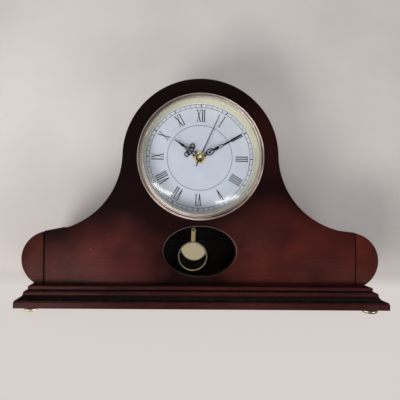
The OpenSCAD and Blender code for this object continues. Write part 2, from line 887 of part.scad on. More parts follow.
module second_hand_cap() {
    cap_a = second_hand_a + second_hand_t;
    rim_h = 0.7;
    dome_h = cap_h - rim_h;
    dome_r = (cap_r * cap_r + dome_h * dome_h) / (2 * dome_h);
    color(brass) on_dial() difference() {
        union() {
            rod(cap_a, cap_a + rim_h, cap_r);
            intersection() {
                translate([0, 0, cap_a + cap_h - dome_r]) sphere(r = dome_r, $fn = 64);
                rod(cap_a + rim_h / 2, cap_a + cap_h + overshoot, cap_r);
            }
        }
        rod(cap_a - overshoot, arbor_end_a, arbor_r);
    }
}

module shaft_nut() {
    corner_r = nut_w / sqrt(3);
    color(brass) on_dial() difference() {
        intersection() {
            translate([0, 0, dial_a]) cylinder(h = nut_h, r = corner_r, $fn = 6);
            translate([0, 0, dial_a]) cylinder(h = nut_h, r1 = corner_r + 0.3, r2 = nut_w / 2 - 0.2, $fn = 64);
        }
        rod(dial_a - overshoot, dial_a + nut_h + overshoot, bush_r + hair);
    }
}

module rubber_washer() {
    color(plastic) on_dial() ring(box_front_a, pan_a, bush_r, 9);
}

// Toothed wheel with straight flanks, thin enough at the pitch circle to run with play
function tooth_points(m, n) = let (
    pitch_r = m * n / 2,
    root_r = pitch_r - 0.95 * m,
    tip_r = pitch_r + 0.65 * m,
    root_half = 0.27 * 360 / n,
    tip_half = 0.09 * 360 / n
) [for (i = [0:n - 1]) for (corner = [[root_r, -root_half], [tip_r, -tip_half], [tip_r, tip_half],
    [root_r, root_half]]) polar(corner[0], 360 * i / n + corner[1])];

module wheel(m, n, back_a, thick) {
    slab(back_a, back_a + thick) polygon(tooth_points(m, n));
}

// A wheel with a ring of holes in its web
module pierced_wheel(m, n, back_a, holes) {
    web_r = 0.3 * m * n;
    difference() {
        wheel(m, n, back_a, wheel_t);
        for (i = [0:holes - 1])
            rotate([0, 0, 360 * (i + 0.5) / holes]) translate([web_r, 0, 0])
                rod(back_a - overshoot, back_a + wheel_t + overshoot, 0.11 * m * n);
    }
}

module seconds_wheel() {
    pinion_m = third_m;
    color(white_nylon) on_dial() {
        pierced_wheel(seconds_m, seconds_n, seconds_wheel_a, 3);
        wheel(pinion_m, small_n, third_wheel_a - 0.25, wheel_t + 0.4);
        rod(seconds_wheel_a + wheel_t - hair, third_wheel_a - 0.25 + hair, 1.1);
        rod(boss_a - 0.8, arbor_end_a, arbor_r);
    }
}

module third_wheel() {
    color(white_nylon) on_dial() translate(third_at) {
        rotate([0, 0, third_turn]) pierced_wheel(third_m, third_n, third_wheel_a, 4);
        rotate([0, 0, third_turn]) wheel(centre_m, small_n, centre_wheel_a - 0.15, wheel_t + 0.5);
        rod(third_wheel_a, centre_wheel_a - 0.1, 0.7);
        rod(boss_a - 0.8, room_a + 0.8, pivot_r);
    }
}

module centre_wheel() {
    color(white_nylon) on_dial() difference() {
        rotate([0, 0, centre_turn]) pierced_wheel(centre_m, centre_n, centre_wheel_a, 4);
        rod(centre_wheel_a - overshoot, centre_wheel_a + 2 * wheel_t, minute_tube_r + play / 2);
    }
}

module minute_tube() {
    back_a = plate_a + 0.3;
    color(brass) on_dial() difference() {
        union() {
            rod(back_a, minute_tube_end_a, minute_tube_r);
            wheel(cannon_m, cannon_n, minute_wheel_a - 0.2, wheel_t + 0.6);
        }
        rod(back_a - overshoot, minute_tube_end_a + overshoot, arbor_r + play);
    }
}

module minute_wheel() {
    color(white_nylon) on_dial() translate(minute_at) rotate([0, 0, minute_turn]) {
        pierced_wheel(cannon_m, minute_n, minute_wheel_a, 3);
        wheel(hour_m, hour_pinion_n, minute_wheel_a + wheel_t - hair, room_a - 0.3 - minute_wheel_a - wheel_t);
        rod(cover_back_a - 2.4, room_a + 0.8, arbor_r);
    }
}

module hour_wheel() {
    color(white_nylon) on_dial() difference() {
        union() {
            rotate([0, 0, hour_turn]) wheel(hour_m, hour_n, hour_wheel_a, wheel_t + 0.2);
            rod(hour_wheel_a, hour_tube_end_a, hour_tube_r);
        }
        rod(hour_wheel_a - overshoot, hour_tube_end_a + overshoot, minute_tube_r + play);
    }
}

module intermediate_wheel() {
    color(white_nylon) on_dial() translate(fast_at) rotate([0, 0, fast_turn]) {
        pierced_wheel(fast_m, fast_n, fast_wheel_a, 4);
        wheel(seconds_m, small_n, seconds_wheel_a - 0.2, wheel_t + 0.4);
        rod(fast_wheel_a, seconds_wheel_a, 0.8);
        rod(boss_a - 0.8, plate_a - 0.2, pivot_r);
    }
}

rotor_magnet_r = 3;

module rotor() {
    color([0.3, 0.3, 0.32]) on_dial() translate(rotor_at) rotate([0, 0, rotor_turn]) {
        rod(fast_wheel_a + wheel_t + 0.6, third_wheel_a + wheel_t - 0.1, rotor_magnet_r);
        wheel(fast_m, small_n, fast_wheel_a - 0.4, wheel_t + 1.1);
        rod(boss_a - 0.8, plate_a - 0.2, pivot_r);
    }
}

coil_x = 21.5;
coil_y0 = 3;
coil_y1 = 14;
core_w = 2.4;

// Legs of the stator, and where the train plate's posts hold them
leg_y0 = -1;
leg_y1 = 18;
leg_w = 3.5;
leg_mid_y = [leg_y0 + leg_w / 2, leg_y1 - leg_w / 2];
leg_post_x = 13;

module stator() {
    color(steel) on_dial() slab(stator_a - stator_t, stator_a) difference() {
        union() {
            translate(rotor_at) circle(r = rotor_magnet_r + 1.6, $fn = 48);
            translate([rotor_at[0] - 2, leg_y0]) square([4, leg_y1 - leg_y0]);
            translate([rotor_at[0], leg_y0]) square([coil_x + core_w / 2 - rotor_at[0], leg_w]);
            translate([rotor_at[0], leg_y1 - leg_w]) square([coil_x + core_w / 2 - rotor_at[0], leg_w]);
            translate([coil_x - core_w / 2, leg_y0]) square([core_w, leg_y1 - leg_y0]);
        }
        translate(rotor_at) circle(r = rotor_magnet_r + 0.6, $fn = 48);
    }
}

module motor_coil() {
    mid_a = stator_a - stator_t / 2;
    flange_t = 0.8;
    color([0.75, 0.4, 0.2]) on_dial() difference() {
        translate([coil_x, coil_y0, mid_a]) rotate([-90, 0, 0]) {
            cylinder(h = coil_y1 - coil_y0, r = 4, $fn = 48);
            cylinder(h = flange_t, r = 4.6, $fn = 48);
            translate([0, 0, coil_y1 - coil_y0 - flange_t]) cylinder(h = flange_t, r = 4.6, $fn = 48);
        }
        translate([coil_x - core_w / 2 - hair, coil_y0 - overshoot, mid_a - stator_t / 2 - hair])
            cube([core_w + 2 * hair, coil_y1 - coil_y0 + 2 * overshoot, stator_t + 2 * hair]);
    }
}

// Posts that carry the train plate
post_at = [[-22, 22], [-22, -6.5], [12.5, 22], [12.5, -6.5]];

module movement_base() {
    color(plastic) on_dial() difference() {
        union() {
            difference() {
                translate([-box_half, -box_down, room_back_a])
                    cube([2 * box_half, box_up + box_down, box_front_a - room_back_a]);
                translate([-box_half + box_wall, battery_wall_y, room_back_a - overshoot])
                    cube([2 * (box_half - box_wall), box_up - box_wall - battery_wall_y, room_depth + overshoot]);
                translate([-box_half + box_wall, battery_floor_y, room_back_a - overshoot])
                    cube([2 * (box_half - box_wall), battery_room_top - battery_floor_y, room_depth + overshoot]);
            }
            for (at = post_at) translate(at) rod(plate_a, room_a + hair, 2);
            rod(box_front_a - hair, bush_end_a, bush_r);
        }
        rod(room_a - overshoot, bush_end_a + overshoot, hour_tube_r + play);
        translate(third_at) rod(room_a - overshoot, room_a + 1, pivot_r + play);
        translate(minute_at) rod(room_a - overshoot, room_a + 1, arbor_r + play);
    }
}

module movement_cover() {
    color(plastic) on_dial() difference() {
        union() {
            translate([-box_half, battery_room_top, cover_back_a])
                cube([2 * box_half, box_up - battery_room_top, cover_t]);
            for (at = [[0, 0], third_at, fast_at, rotor_at])
                translate(at) rod(room_back_a - hair, boss_a, 1.5);
        }
        rod(room_back_a + 0.2, boss_a + overshoot, arbor_r + play);
        for (at = [third_at, fast_at, rotor_at])
            translate(at) rod(room_back_a + 0.2, boss_a + overshoot, pivot_r + play);
        translate(minute_at) rod(cover_back_a - overshoot, room_back_a + overshoot, arbor_r + play);
    }
}

module train_plate() {
    color([0.5, 0.5, 0.48]) on_dial() difference() {
        union() {
            slab(plate_a - plate_t, plate_a) translate([-plate_left, -plate_down])
                square([plate_left + plate_right, plate_down + plate_up]);
            for (y = leg_mid_y) translate([leg_post_x, y, 0]) rod(stator_a, plate_a - hair, 1.5);
        }
        rod(plate_a - 2 * plate_t, plate_a + overshoot, arbor_r + play);
        translate(minute_at) rod(plate_a - 2 * plate_t, plate_a + overshoot, arbor_r + play);
        translate(third_at) rod(plate_a - 2 * plate_t, plate_a + overshoot, 1.5);
        for (at = [fast_at, rotor_at])
            translate(at) rod(plate_a - 2 * plate_t, plate_a + overshoot, pivot_r + play);
    }
}

board_t = 1;

module circuit_board() {
    color([0.1, 0.35, 0.15]) on_dial() {
        translate([-25, 14.5, room_back_a]) cube([19, 10.5, board_t]);
        translate([-12, 20, room_back_a + board_t - hair]) cylinder(h = 0.9, r1 = 2.6, r2 = 1.6, $fn = 32);
    }
}

module quartz_crystal() {
    color(steel) on_dial() translate([-22, 17.5, room_back_a + board_t + 1])
        rotate([0, 90, 0]) cylinder(h = 6, r = 1, $fn = 32);
}

module setting_knob() {
    knob_a = cover_back_a - 0.5;
    color(plastic) on_dial() translate(minute_at) difference() {
        union() {
            rod(knob_a - 3, knob_a, knob_r - 0.6);
            for (i = [0:17]) rotate([0, 0, 20 * i]) translate([knob_r - 0.7, 0, 0])
                rod(knob_a - 3, knob_a, 0.6, $fn = 16);
        }
        rod(cover_back_a - 2.4, knob_a + overshoot, arbor_r);
    }
}

module battery() {
    color([0.2, 0.35, 0.3]) on_dial() translate([-box_half + box_wall + 1.3, battery_y, battery_a])
        rotate([0, 90, 0]) {
            cylinder(h = battery_l, r = battery_d / 2);
            cylinder(h = battery_l + stud_l, r = stud_r, $fn = 32);
        }
}

// A sprung contact at the flat end and a plain one at the stud
module battery_contacts() {
    inner_x = box_half - box_wall;
    flat_x = -inner_x + 1.3;
    stud_x = flat_x + battery_l + stud_l;
    plate = [contact_t, contact_h, contact_d];
    color(steel) on_dial() {
        translate([-inner_x, battery_y - plate[1] / 2, battery_a - plate[2] / 2]) cube(plate);
        translate([-inner_x + contact_t - hair, battery_y, battery_a]) rotate([0, 90, 0])
            cylinder(h = flat_x + inner_x - contact_t + hair, r1 = 4, r2 = 2.4, $fn = 32);
        translate([inner_x - contact_t, battery_y - plate[1] / 2, battery_a - plate[2] / 2]) cube(plate);
        translate([stud_x, battery_y, battery_a]) rotate([0, 90, 0])
            cylinder(h = inner_x - contact_t - stud_x + hair, r = 2, $fn = 32);
    }
}

module pendulum_housing() {
    depth = drive_back_y - drive_front_y;
    color(plastic) {
        difference() {
            translate([-drive_left - drive_half, drive_front_y, drive_top_z - drive_h])
                cube([2 * drive_half, depth, drive_h]);
            translate([-drive_left - drive_half + drive_wall, drive_front_y + drive_wall,
                drive_top_z - drive_h - overshoot])
                cube([2 * (drive_half - drive_wall), depth - 2 * drive_wall, drive_h - drive_wall + overshoot]);
        }
        translate([-drive_left, drive_front_y + drive_wall - hair, pivot_z]) rotate([-90, 0, 0])
            cylinder(h = depth - 2 * drive_wall + 2 * hair, r = pendulum_pin_r, $fn = 48);
    }
}

module pendulum_coil() {
    seat_y = drive_back_y - drive_wall;
    coil_l = seat_y - swing_y - lever_t / 2 - magnet_t - drive_coil_gap;
    flange_t = 0.6;
    core_r = 2;
    color([0.75, 0.4, 0.2]) translate([-drive_left, seat_y, pivot_z - magnet_drop]) rotate([90, 0, 0])
        rotate_extrude($fn = 64) {
            translate([core_r, 0]) square([drive_coil_r - core_r, flange_t]);
            translate([core_r, 0]) square([drive_coil_r - core_r - 0.5, coil_l]);
            translate([core_r, coil_l - flange_t]) square([drive_coil_r - core_r, flange_t]);
        }
}

// Hangs a part from the pivot at the angle that the pendulum is shown at
module hung() {
    translate([-drive_left, swing_y, pivot_z]) rotate([0, lean, 0]) children();
}

module pendulum_lever() {
    color(plastic) hung() {
        difference() {
            standing(-lever_t / 2, lever_t / 2) {
                circle(r = lever_eye_r, $fn = 48);
                translate([-2, -lever_l]) square([4, lever_l]);
                translate([0, -magnet_drop]) circle(r = magnet_r + 1, $fn = 48);
            }
            rotate([90, 0, 0]) cylinder(h = 2 * lever_t, r = pendulum_pin_r + play, center = true, $fn = 48);
        }
        translate([0, -lever_t / 2 + hair, -hook_drop]) rotate([90, 0, 0]) {
            cylinder(h = rod_t + 0.4 + hair, r = hook_r, $fn = 32);
            translate([0, 0, rod_t + 0.2 + hair]) cylinder(h = 0.8, r = hook_r + 0.5, $fn = 32);
        }
    }
}

module pendulum_magnet() {
    color([0.3, 0.3, 0.32]) hung() translate([0, lever_t / 2, -magnet_drop]) rotate([-90, 0, 0])
        cylinder(h = magnet_t, r = magnet_r, $fn = 48);
}

module pendulum_rod() {
    front = -lever_t / 2 - rod_t;
    color(brass) hung() difference() {
        standing(front, -lever_t / 2) {
            translate([-rod_w / 2, -pendulum_l]) square([rod_w, pendulum_l - hook_drop]);
            translate([0, -hook_drop]) circle(r = rod_w / 2, $fn = 32);
        }
        translate([0, 0, -hook_drop]) rotate([90, 0, 0])
            cylinder(h = 4 * lever_t, r = hook_r + hair, center = true, $fn = 32);
    }
}

module pendulum_bob() {
    back = -lever_t / 2 - rod_t;
    face_r = bob_r - bob_rim / 2;
    dome_r = (face_r * face_r + bob_rise * bob_rise) / (2 * bob_rise);
    top = bob_rim - 0.9 + bob_rise;
    color(brass) hung() translate([0, back, -pendulum_l]) rotate([90, 0, 0]) rotate_extrude($fn = 128) {
        intersection() {
            translate([0, top - dome_r]) circle(r = dome_r, $fn = 180);
            square([face_r, 2 * top]);
        }
        translate([face_r, bob_rim / 2]) circle(r = bob_rim / 2, $fn = 48);
    }
}

module back_door() {
    color(wood) difference() {
        translate([-door_w / 2 + door_gap, back_in_y, door_z + door_gap])
            cube([door_w - 2 * door_gap, back_t, door_h - 2 * door_gap]);
        translate([door_w / 2 - 14, back_y + overshoot, catch_z]) rotate([90, 0, 0])
            cylinder(h = 4 + overshoot, r = 1.5 + hair, $fn = 24);
    }
}

knuckle_gap = 0.3;
hinge_inset = 22;

module at_hinges() {
    for (z = [door_z + hinge_inset, door_z + door_h - hinge_inset - hinge_l])
        translate([hinge_x, hinge_y, z]) children();
}

// Knuckles from z0 to z1 with a leaf that lies on the back face towards one side
module hinge_half(side, spans, bore_r) {
    leaf_gap = knuckle_r + 0.3;
    difference() {
        union() {
            for (span = spans) {
                translate([0, 0, span[0]]) cylinder(h = span[1] - span[0], r = knuckle_r, $fn = 32);
                translate([side > 0 ? 0 : -leaf_gap, -knuckle_r, span[0]])
                    cube([leaf_gap, leaf_t, span[1] - span[0]]);
            }
            translate([side > 0 ? leaf_gap - hair : -leaf_gap - leaf_w + hair, -knuckle_r - 0.2, 0])
                cube([leaf_w, leaf_t + 0.2, hinge_l]);
        }
        translate([0, 0, -overshoot]) cylinder(h = hinge_l + 2 * overshoot, r = bore_r, $fn = 32);
        for (z = [hinge_l / 4, 3 * hinge_l / 4])
            translate([side * (leaf_gap + leaf_w / 2), 0, z]) rotate([90, 0, 0])
                cylinder(h = 2 * knuckle_r, r = 1, center = true, $fn = 24);
    }
}

module case_hinge_leaves() {
    third = hinge_l / 3;
    color(brass) at_hinges()
        hinge_half(-1, [[0, third - knuckle_gap], [2 * third + knuckle_gap, hinge_l]], hinge_pin_r);
}

module door_hinge_leaves() {
    third = hinge_l / 3;
    color(brass) at_hinges() hinge_half(1, [[third, 2 * third]], hinge_pin_r + play);
}

module hinge_pins() {
    color(brass) at_hinges() {
        translate([0, 0, -0.2]) cylinder(h = hinge_l + 0.4, r = hinge_pin_r, $fn = 32);
        for (z = [-0.8, hinge_l]) translate([0, 0, z]) cylinder(h = 0.8, r = hinge_pin_r + 0.5, $fn = 32);
    }
}

module door_knob() {
    neck_r = door_knob_r * 0.45;
    color(brass) translate([door_w / 2 - 14, back_y, catch_z]) rotate([-90, 0, 0]) {
        rotate_extrude($fn = 48) polygon([
            [0, 0], [door_knob_r * 0.8, 0], [door_knob_r * 0.8, 1.2], [neck_r, 2],
            [neck_r, door_knob_l * 0.4], [door_knob_r, door_knob_l * 0.62], [door_knob_r, door_knob_l * 0.8],
            [door_knob_r * 0.7, door_knob_l * 0.96], [0, door_knob_l]
        ]);
        translate([0, 0, -3.8]) cylinder(h = 3.8 + hair, r = 1.5, $fn = 24);
    }
}

catch_lap = 9;
strike_t = 1;

// The magnet block sits on the inner face of the back panel and stops the door
module catch_magnet() {
    depth = 10;
    height = 12;
    edge = door_w / 2;
    color(plastic) translate([0, 0, catch_z - height / 2 + 18]) {
        translate([edge + 0.5, back_in_y - depth, 0]) cube([12, depth, height]);
        translate([edge - catch_lap, back_in_y - depth, 0])
            cube([catch_lap + 1, depth - strike_t - 0.1, height]);
    }
}

module strike_plate() {
    height = 14;
    color(steel) translate([door_w / 2 - catch_lap - 1, back_in_y - strike_t, catch_z - height / 2 + 18])
        cube([catch_lap, strike_t, height]);
}

front_panel();
back_panel();
top_skin();
left_end_block();
right_end_block();
case_floor();
ledge_board();
cove_moulding();
plinth_board();
foot_front_left();
foot_front_right();
foot_rear_left();
foot_rear_right();
base_screws();
window_pane();
pane_clips();
bezel();
bezel_glass();
reflector_ring();
dial_plate();
dial_print();
dial_pan();
pan_screws();
hour_hand();
minute_hand();
second_hand();
second_hand_cap();
shaft_nut();
rubber_washer();
movement_base();
movement_cover();
train_plate();
circuit_board();
quartz_crystal();
motor_coil();
stator();
rotor();
intermediate_wheel();
seconds_wheel();
third_wheel();
centre_wheel();
minute_tube();
minute_wheel();
hour_wheel();
setting_knob();
battery();
battery_contacts();
pendulum_housing();
pendulum_coil();
pendulum_lever();
pendulum_magnet();
pendulum_rod();
pendulum_bob();
back_door();
case_hinge_leaves();
door_hinge_leaves();
hinge_pins();
door_knob();
catch_magnet();
strike_plate();
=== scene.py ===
"""Mantel clock with a pendulum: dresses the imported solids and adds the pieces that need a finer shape.

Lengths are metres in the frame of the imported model: X to the right, Y to the back, Z up.
"""
import logging
import math
from dataclasses import dataclass
from enum import Enum
from functools import cached_property, partial
from typing import Callable, Optional, Sequence, Union

import bmesh
import bpy
import numpy as np
from mathutils import Euler, Matrix, Vector


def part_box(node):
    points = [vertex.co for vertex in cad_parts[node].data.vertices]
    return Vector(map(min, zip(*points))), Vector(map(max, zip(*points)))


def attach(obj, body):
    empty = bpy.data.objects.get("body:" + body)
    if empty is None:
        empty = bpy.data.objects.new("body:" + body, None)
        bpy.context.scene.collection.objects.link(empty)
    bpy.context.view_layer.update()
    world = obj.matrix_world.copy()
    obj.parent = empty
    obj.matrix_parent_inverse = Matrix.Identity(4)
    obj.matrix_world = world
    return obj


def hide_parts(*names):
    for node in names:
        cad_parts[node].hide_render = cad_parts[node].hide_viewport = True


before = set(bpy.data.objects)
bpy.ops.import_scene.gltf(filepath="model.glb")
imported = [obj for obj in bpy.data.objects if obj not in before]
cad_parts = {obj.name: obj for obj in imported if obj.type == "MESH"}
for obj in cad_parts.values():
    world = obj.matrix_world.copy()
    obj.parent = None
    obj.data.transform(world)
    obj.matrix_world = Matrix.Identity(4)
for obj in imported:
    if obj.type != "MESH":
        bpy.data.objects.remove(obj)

LOG = logging.getLogger("mantel_clock")
MM = 0.001
SHEET = "paper_sweep"
# Sockets of a Mix node that mixes colours: its share, first colour and second colour, and its result
COLOUR_MIX_INPUTS = (0, 6, 7)
COLOUR_MIX_OUTPUT = 2

Colour = tuple[float, float, float, float]
Spot = tuple[float, float, float]
Feed = Union["Signal", float, Sequence[float]]
Surface = tuple[np.ndarray, np.ndarray]


def tone(red: float, green: float, blue: float) -> Colour:
    """Turns a colour read off a screen into the linear colour that shaders take.

    Each channel c of 0 to 1 becomes c / 12.92 below 0.04045, and ((c + 0.055) / 1.055) to the power 2.4
    above.

    Args:
        red: Red channel from 0 to 255.
        green: Green channel from 0 to 255.
        blue: Blue channel from 0 to 255.

    Returns:
        The linear colour with full alpha.
    """
    level = np.array([red, green, blue]) / 255
    linear = np.where(level <= 0.04045, level / 12.92, ((level + 0.055) / 1.055) ** 2.4)
    return (float(linear[0]), float(linear[1]), float(linear[2]), 1.0)


class Grain(Enum):
    """Axis along which the fibres of a board run, as the scale of their pattern."""

    ALONG_X = (0.05, 1.0, 1.0)
    ALONG_Y = (1.0, 0.05, 1.0)
    ALONG_Z = (1.0, 1.0, 0.05)


# Surfaces


def arc(centre: tuple[float, float], radius: float, start: float, stop: float, count: int) -> np.ndarray:
    """Points of a circular arc in the plane of a profile.

    A point at angle t is the centre plus radius times (cos t, sin t).

    Args:
        centre: Middle of the circle.
        radius: Radius of the circle.
        start: First angle in degrees.
        stop: Last angle in degrees.
        count: Number of points.

    Returns:
        An array of count rows with two columns.
    """
    turn = np.radians(np.linspace(start, stop, count))
    return np.stack([centre[0] + radius * np.cos(turn), centre[1] + radius * np.sin(turn)], axis=1)


def turned(
    profile: np.ndarray,
    centre: Spot,
    segments: int,
    relief: Optional[Callable[[np.ndarray, np.ndarray], np.ndarray]] = None,
) -> Surface:
    """Surface of a closed profile turned once about an axis that points to the front.

    Profile point (r, a) at angle t lies r sin t to the right of the centre, r cos t above it and a in front
    of it. A relief moves it along the profile's outward normal.

    Args:
        profile: Closed loop of (r, a) rows, in order so that its inside lies on the left.
        centre: Point of the axis where a is 0.
        segments: Number of steps round the axis.
        relief: Height of the relief for grids of profile position from 0 to 1 and angle.

    Returns:
        Points with three columns, and faces with four corner numbers each.
    """
    count = len(profile)
    along = np.roll(profile, -1, axis=0) - np.roll(profile, 1, axis=0)
    normal = np.stack([along[:, 1], -along[:, 0]], axis=1)
    normal /= np.maximum(np.linalg.norm(normal, axis=1, keepdims=True), 1e-12)
    turn = np.linspace(0.0, 2 * np.pi, segments, endpoint=False)
    place, angle = np.meshgrid(np.arange(count) / count, turn, indexing="ij")
    lift = np.zeros_like(place) if relief is None else relief(place, angle)
    radius = np.maximum(profile[:, :1] + lift * normal[:, :1], 0.0)
    height = profile[:, 1:] + lift * normal[:, 1:]
    points = np.stack([centre[0] + radius * np.sin(angle), centre[1] - height,
                       centre[2] + radius * np.cos(angle)], axis=-1)
    row, column = np.meshgrid(np.arange(count), np.arange(segments), indexing="ij")
    below, beside = (row + 1) % count, (column + 1) % segments
    faces = np.stack([row * segments + column, below * segments + column,
                      below * segments + beside, row * segments + beside], axis=-1)
    return points.reshape(-1, 3), faces.reshape(-1, 4)


def swept(section: np.ndarray, ends: tuple[float, float]) -> Surface:
    """Open sheet of a section in the YZ plane drawn along X.

    Args:
        section: Rows of (y, z).
        ends: First and last x.

    Returns:
        Points and faces.
    """
    count = len(section)
    points = [np.column_stack([np.full(count, end), section]) for end in ends]
    step = np.arange(count - 1)
    return np.concatenate(points), np.stack([step, step + count, step + count + 1, step + 1], axis=1)


def placed(name: str, mesh: bpy.types.Mesh, smooth: np.ndarray, sharp: float) -> bpy.types.Object:
    """Shades a mesh and links it to the scene as an object at the origin.

    Args:
        name: Name of the object.
        mesh: Its mesh.
        smooth: Whether each face is shaded smooth.
        sharp: Angle in degrees from which an edge is shaded sharp.

    Returns:
        The object.
    """
    mesh.polygons.foreach_set("use_smooth", smooth)
    mesh.set_sharp_from_angle(angle=math.radians(sharp))
    piece = bpy.data.objects.new(name, mesh)
    bpy.context.scene.collection.objects.link(piece)
    return piece


def new_piece(name: str, surface: Surface, sharp: float = 40.0, closed: bool = True) -> bpy.types.Object:
    """Puts a worked-out surface into a mesh object at the origin.

    Args:
        name: Name of the piece.
        surface: Its points and faces.
        sharp: Angle in degrees from which an edge is shaded sharp.
        closed: Whether the surface is closed, so that its faces can be turned outwards.

    Returns:
        The new object.
    """
    points, faces = surface
    mesh = bpy.data.meshes.new(name)
    mesh.from_pydata(points.tolist(), [], faces.tolist())
    work = bmesh.new()
    work.from_mesh(mesh)
    bmesh.ops.remove_doubles(work, verts=work.verts, dist=1e-7)
    bmesh.ops.dissolve_degenerate(work, edges=work.edges, dist=1e-8)
    if closed:
        bmesh.ops.recalc_face_normals(work, faces=work.faces)
    work.to_mesh(mesh)
    work.free()
    return placed(name, mesh, np.ones(len(mesh.polygons), bool), sharp)


def eased_copy(node: str, name: str, width: float, limit: float = 35.0) -> bpy.types.Object:
    """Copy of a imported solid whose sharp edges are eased, as sanding or stamping leaves them.

    The loose triangles are merged, level ones are joined, edges past the limit get a round strip, and every
    face that is square to an axis is shaded flat.

    Args:
        node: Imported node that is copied.
        name: Name of the new piece.
        width: Width of the eased edge.
        limit: Angle in degrees from which an edge counts as sharp.

    Returns:
        The new object.
    """
    mesh = bpy.data.meshes.new(name)
    work = bmesh.new()
    work.from_mesh(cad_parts[node].data)
    bmesh.ops.remove_doubles(work, verts=work.verts, dist=2e-6)
    bmesh.ops.dissolve_limit(work, angle_limit=math.radians(0.4), verts=work.verts, edges=work.edges)
    work.normal_update()
    hard = [edge for edge in work.edges
            if len(edge.link_faces) == 2 and edge.calc_face_angle() > math.radians(limit)]
    bmesh.ops.bevel(work, geom=hard, offset=width, offset_type="OFFSET", segments=2, profile=0.5,
                    affect="EDGES", clamp_overlap=True)
    bmesh.ops.triangulate(work, faces=[face for face in work.faces if len(face.verts) > 4])
    work.to_mesh(mesh)
    work.free()
    facing = np.zeros(len(mesh.polygons) * 3)
    mesh.polygons.foreach_get("normal", facing)
    square = np.abs(facing.reshape(-1, 3)).max(axis=1) > 0.9999
    return placed(name, mesh, ~square, 30.0)


# Node layout


@dataclass(frozen=True)
class Signal:
    """Output of a node. Arithmetic with it adds nodes to its tree."""

    bench: "Bench"
    socket: bpy.types.NodeSocket

    def __add__(self, other: Feed) -> "Signal":
        """Sum."""
        return self.bench.maths("ADD", self, other)

    def __sub__(self, other: Feed) -> "Signal":
        """Difference."""
        return self.bench.maths("SUBTRACT", self, other)

    def __rsub__(self, other: Feed) -> "Signal":
        """Difference from a number on the left."""
        return self.bench.maths("SUBTRACT", other, self)

    def __mul__(self, other: Feed) -> "Signal":
        """Product."""
        return self.bench.maths("MULTIPLY", self, other)

    def __abs__(self) -> "Signal":
        """Size without the sign."""
        return self.bench.maths("ABSOLUTE", self)

    def most(self, other: Feed) -> "Signal":
        """The larger of two values."""
        return self.bench.maths("MAXIMUM", self, other)


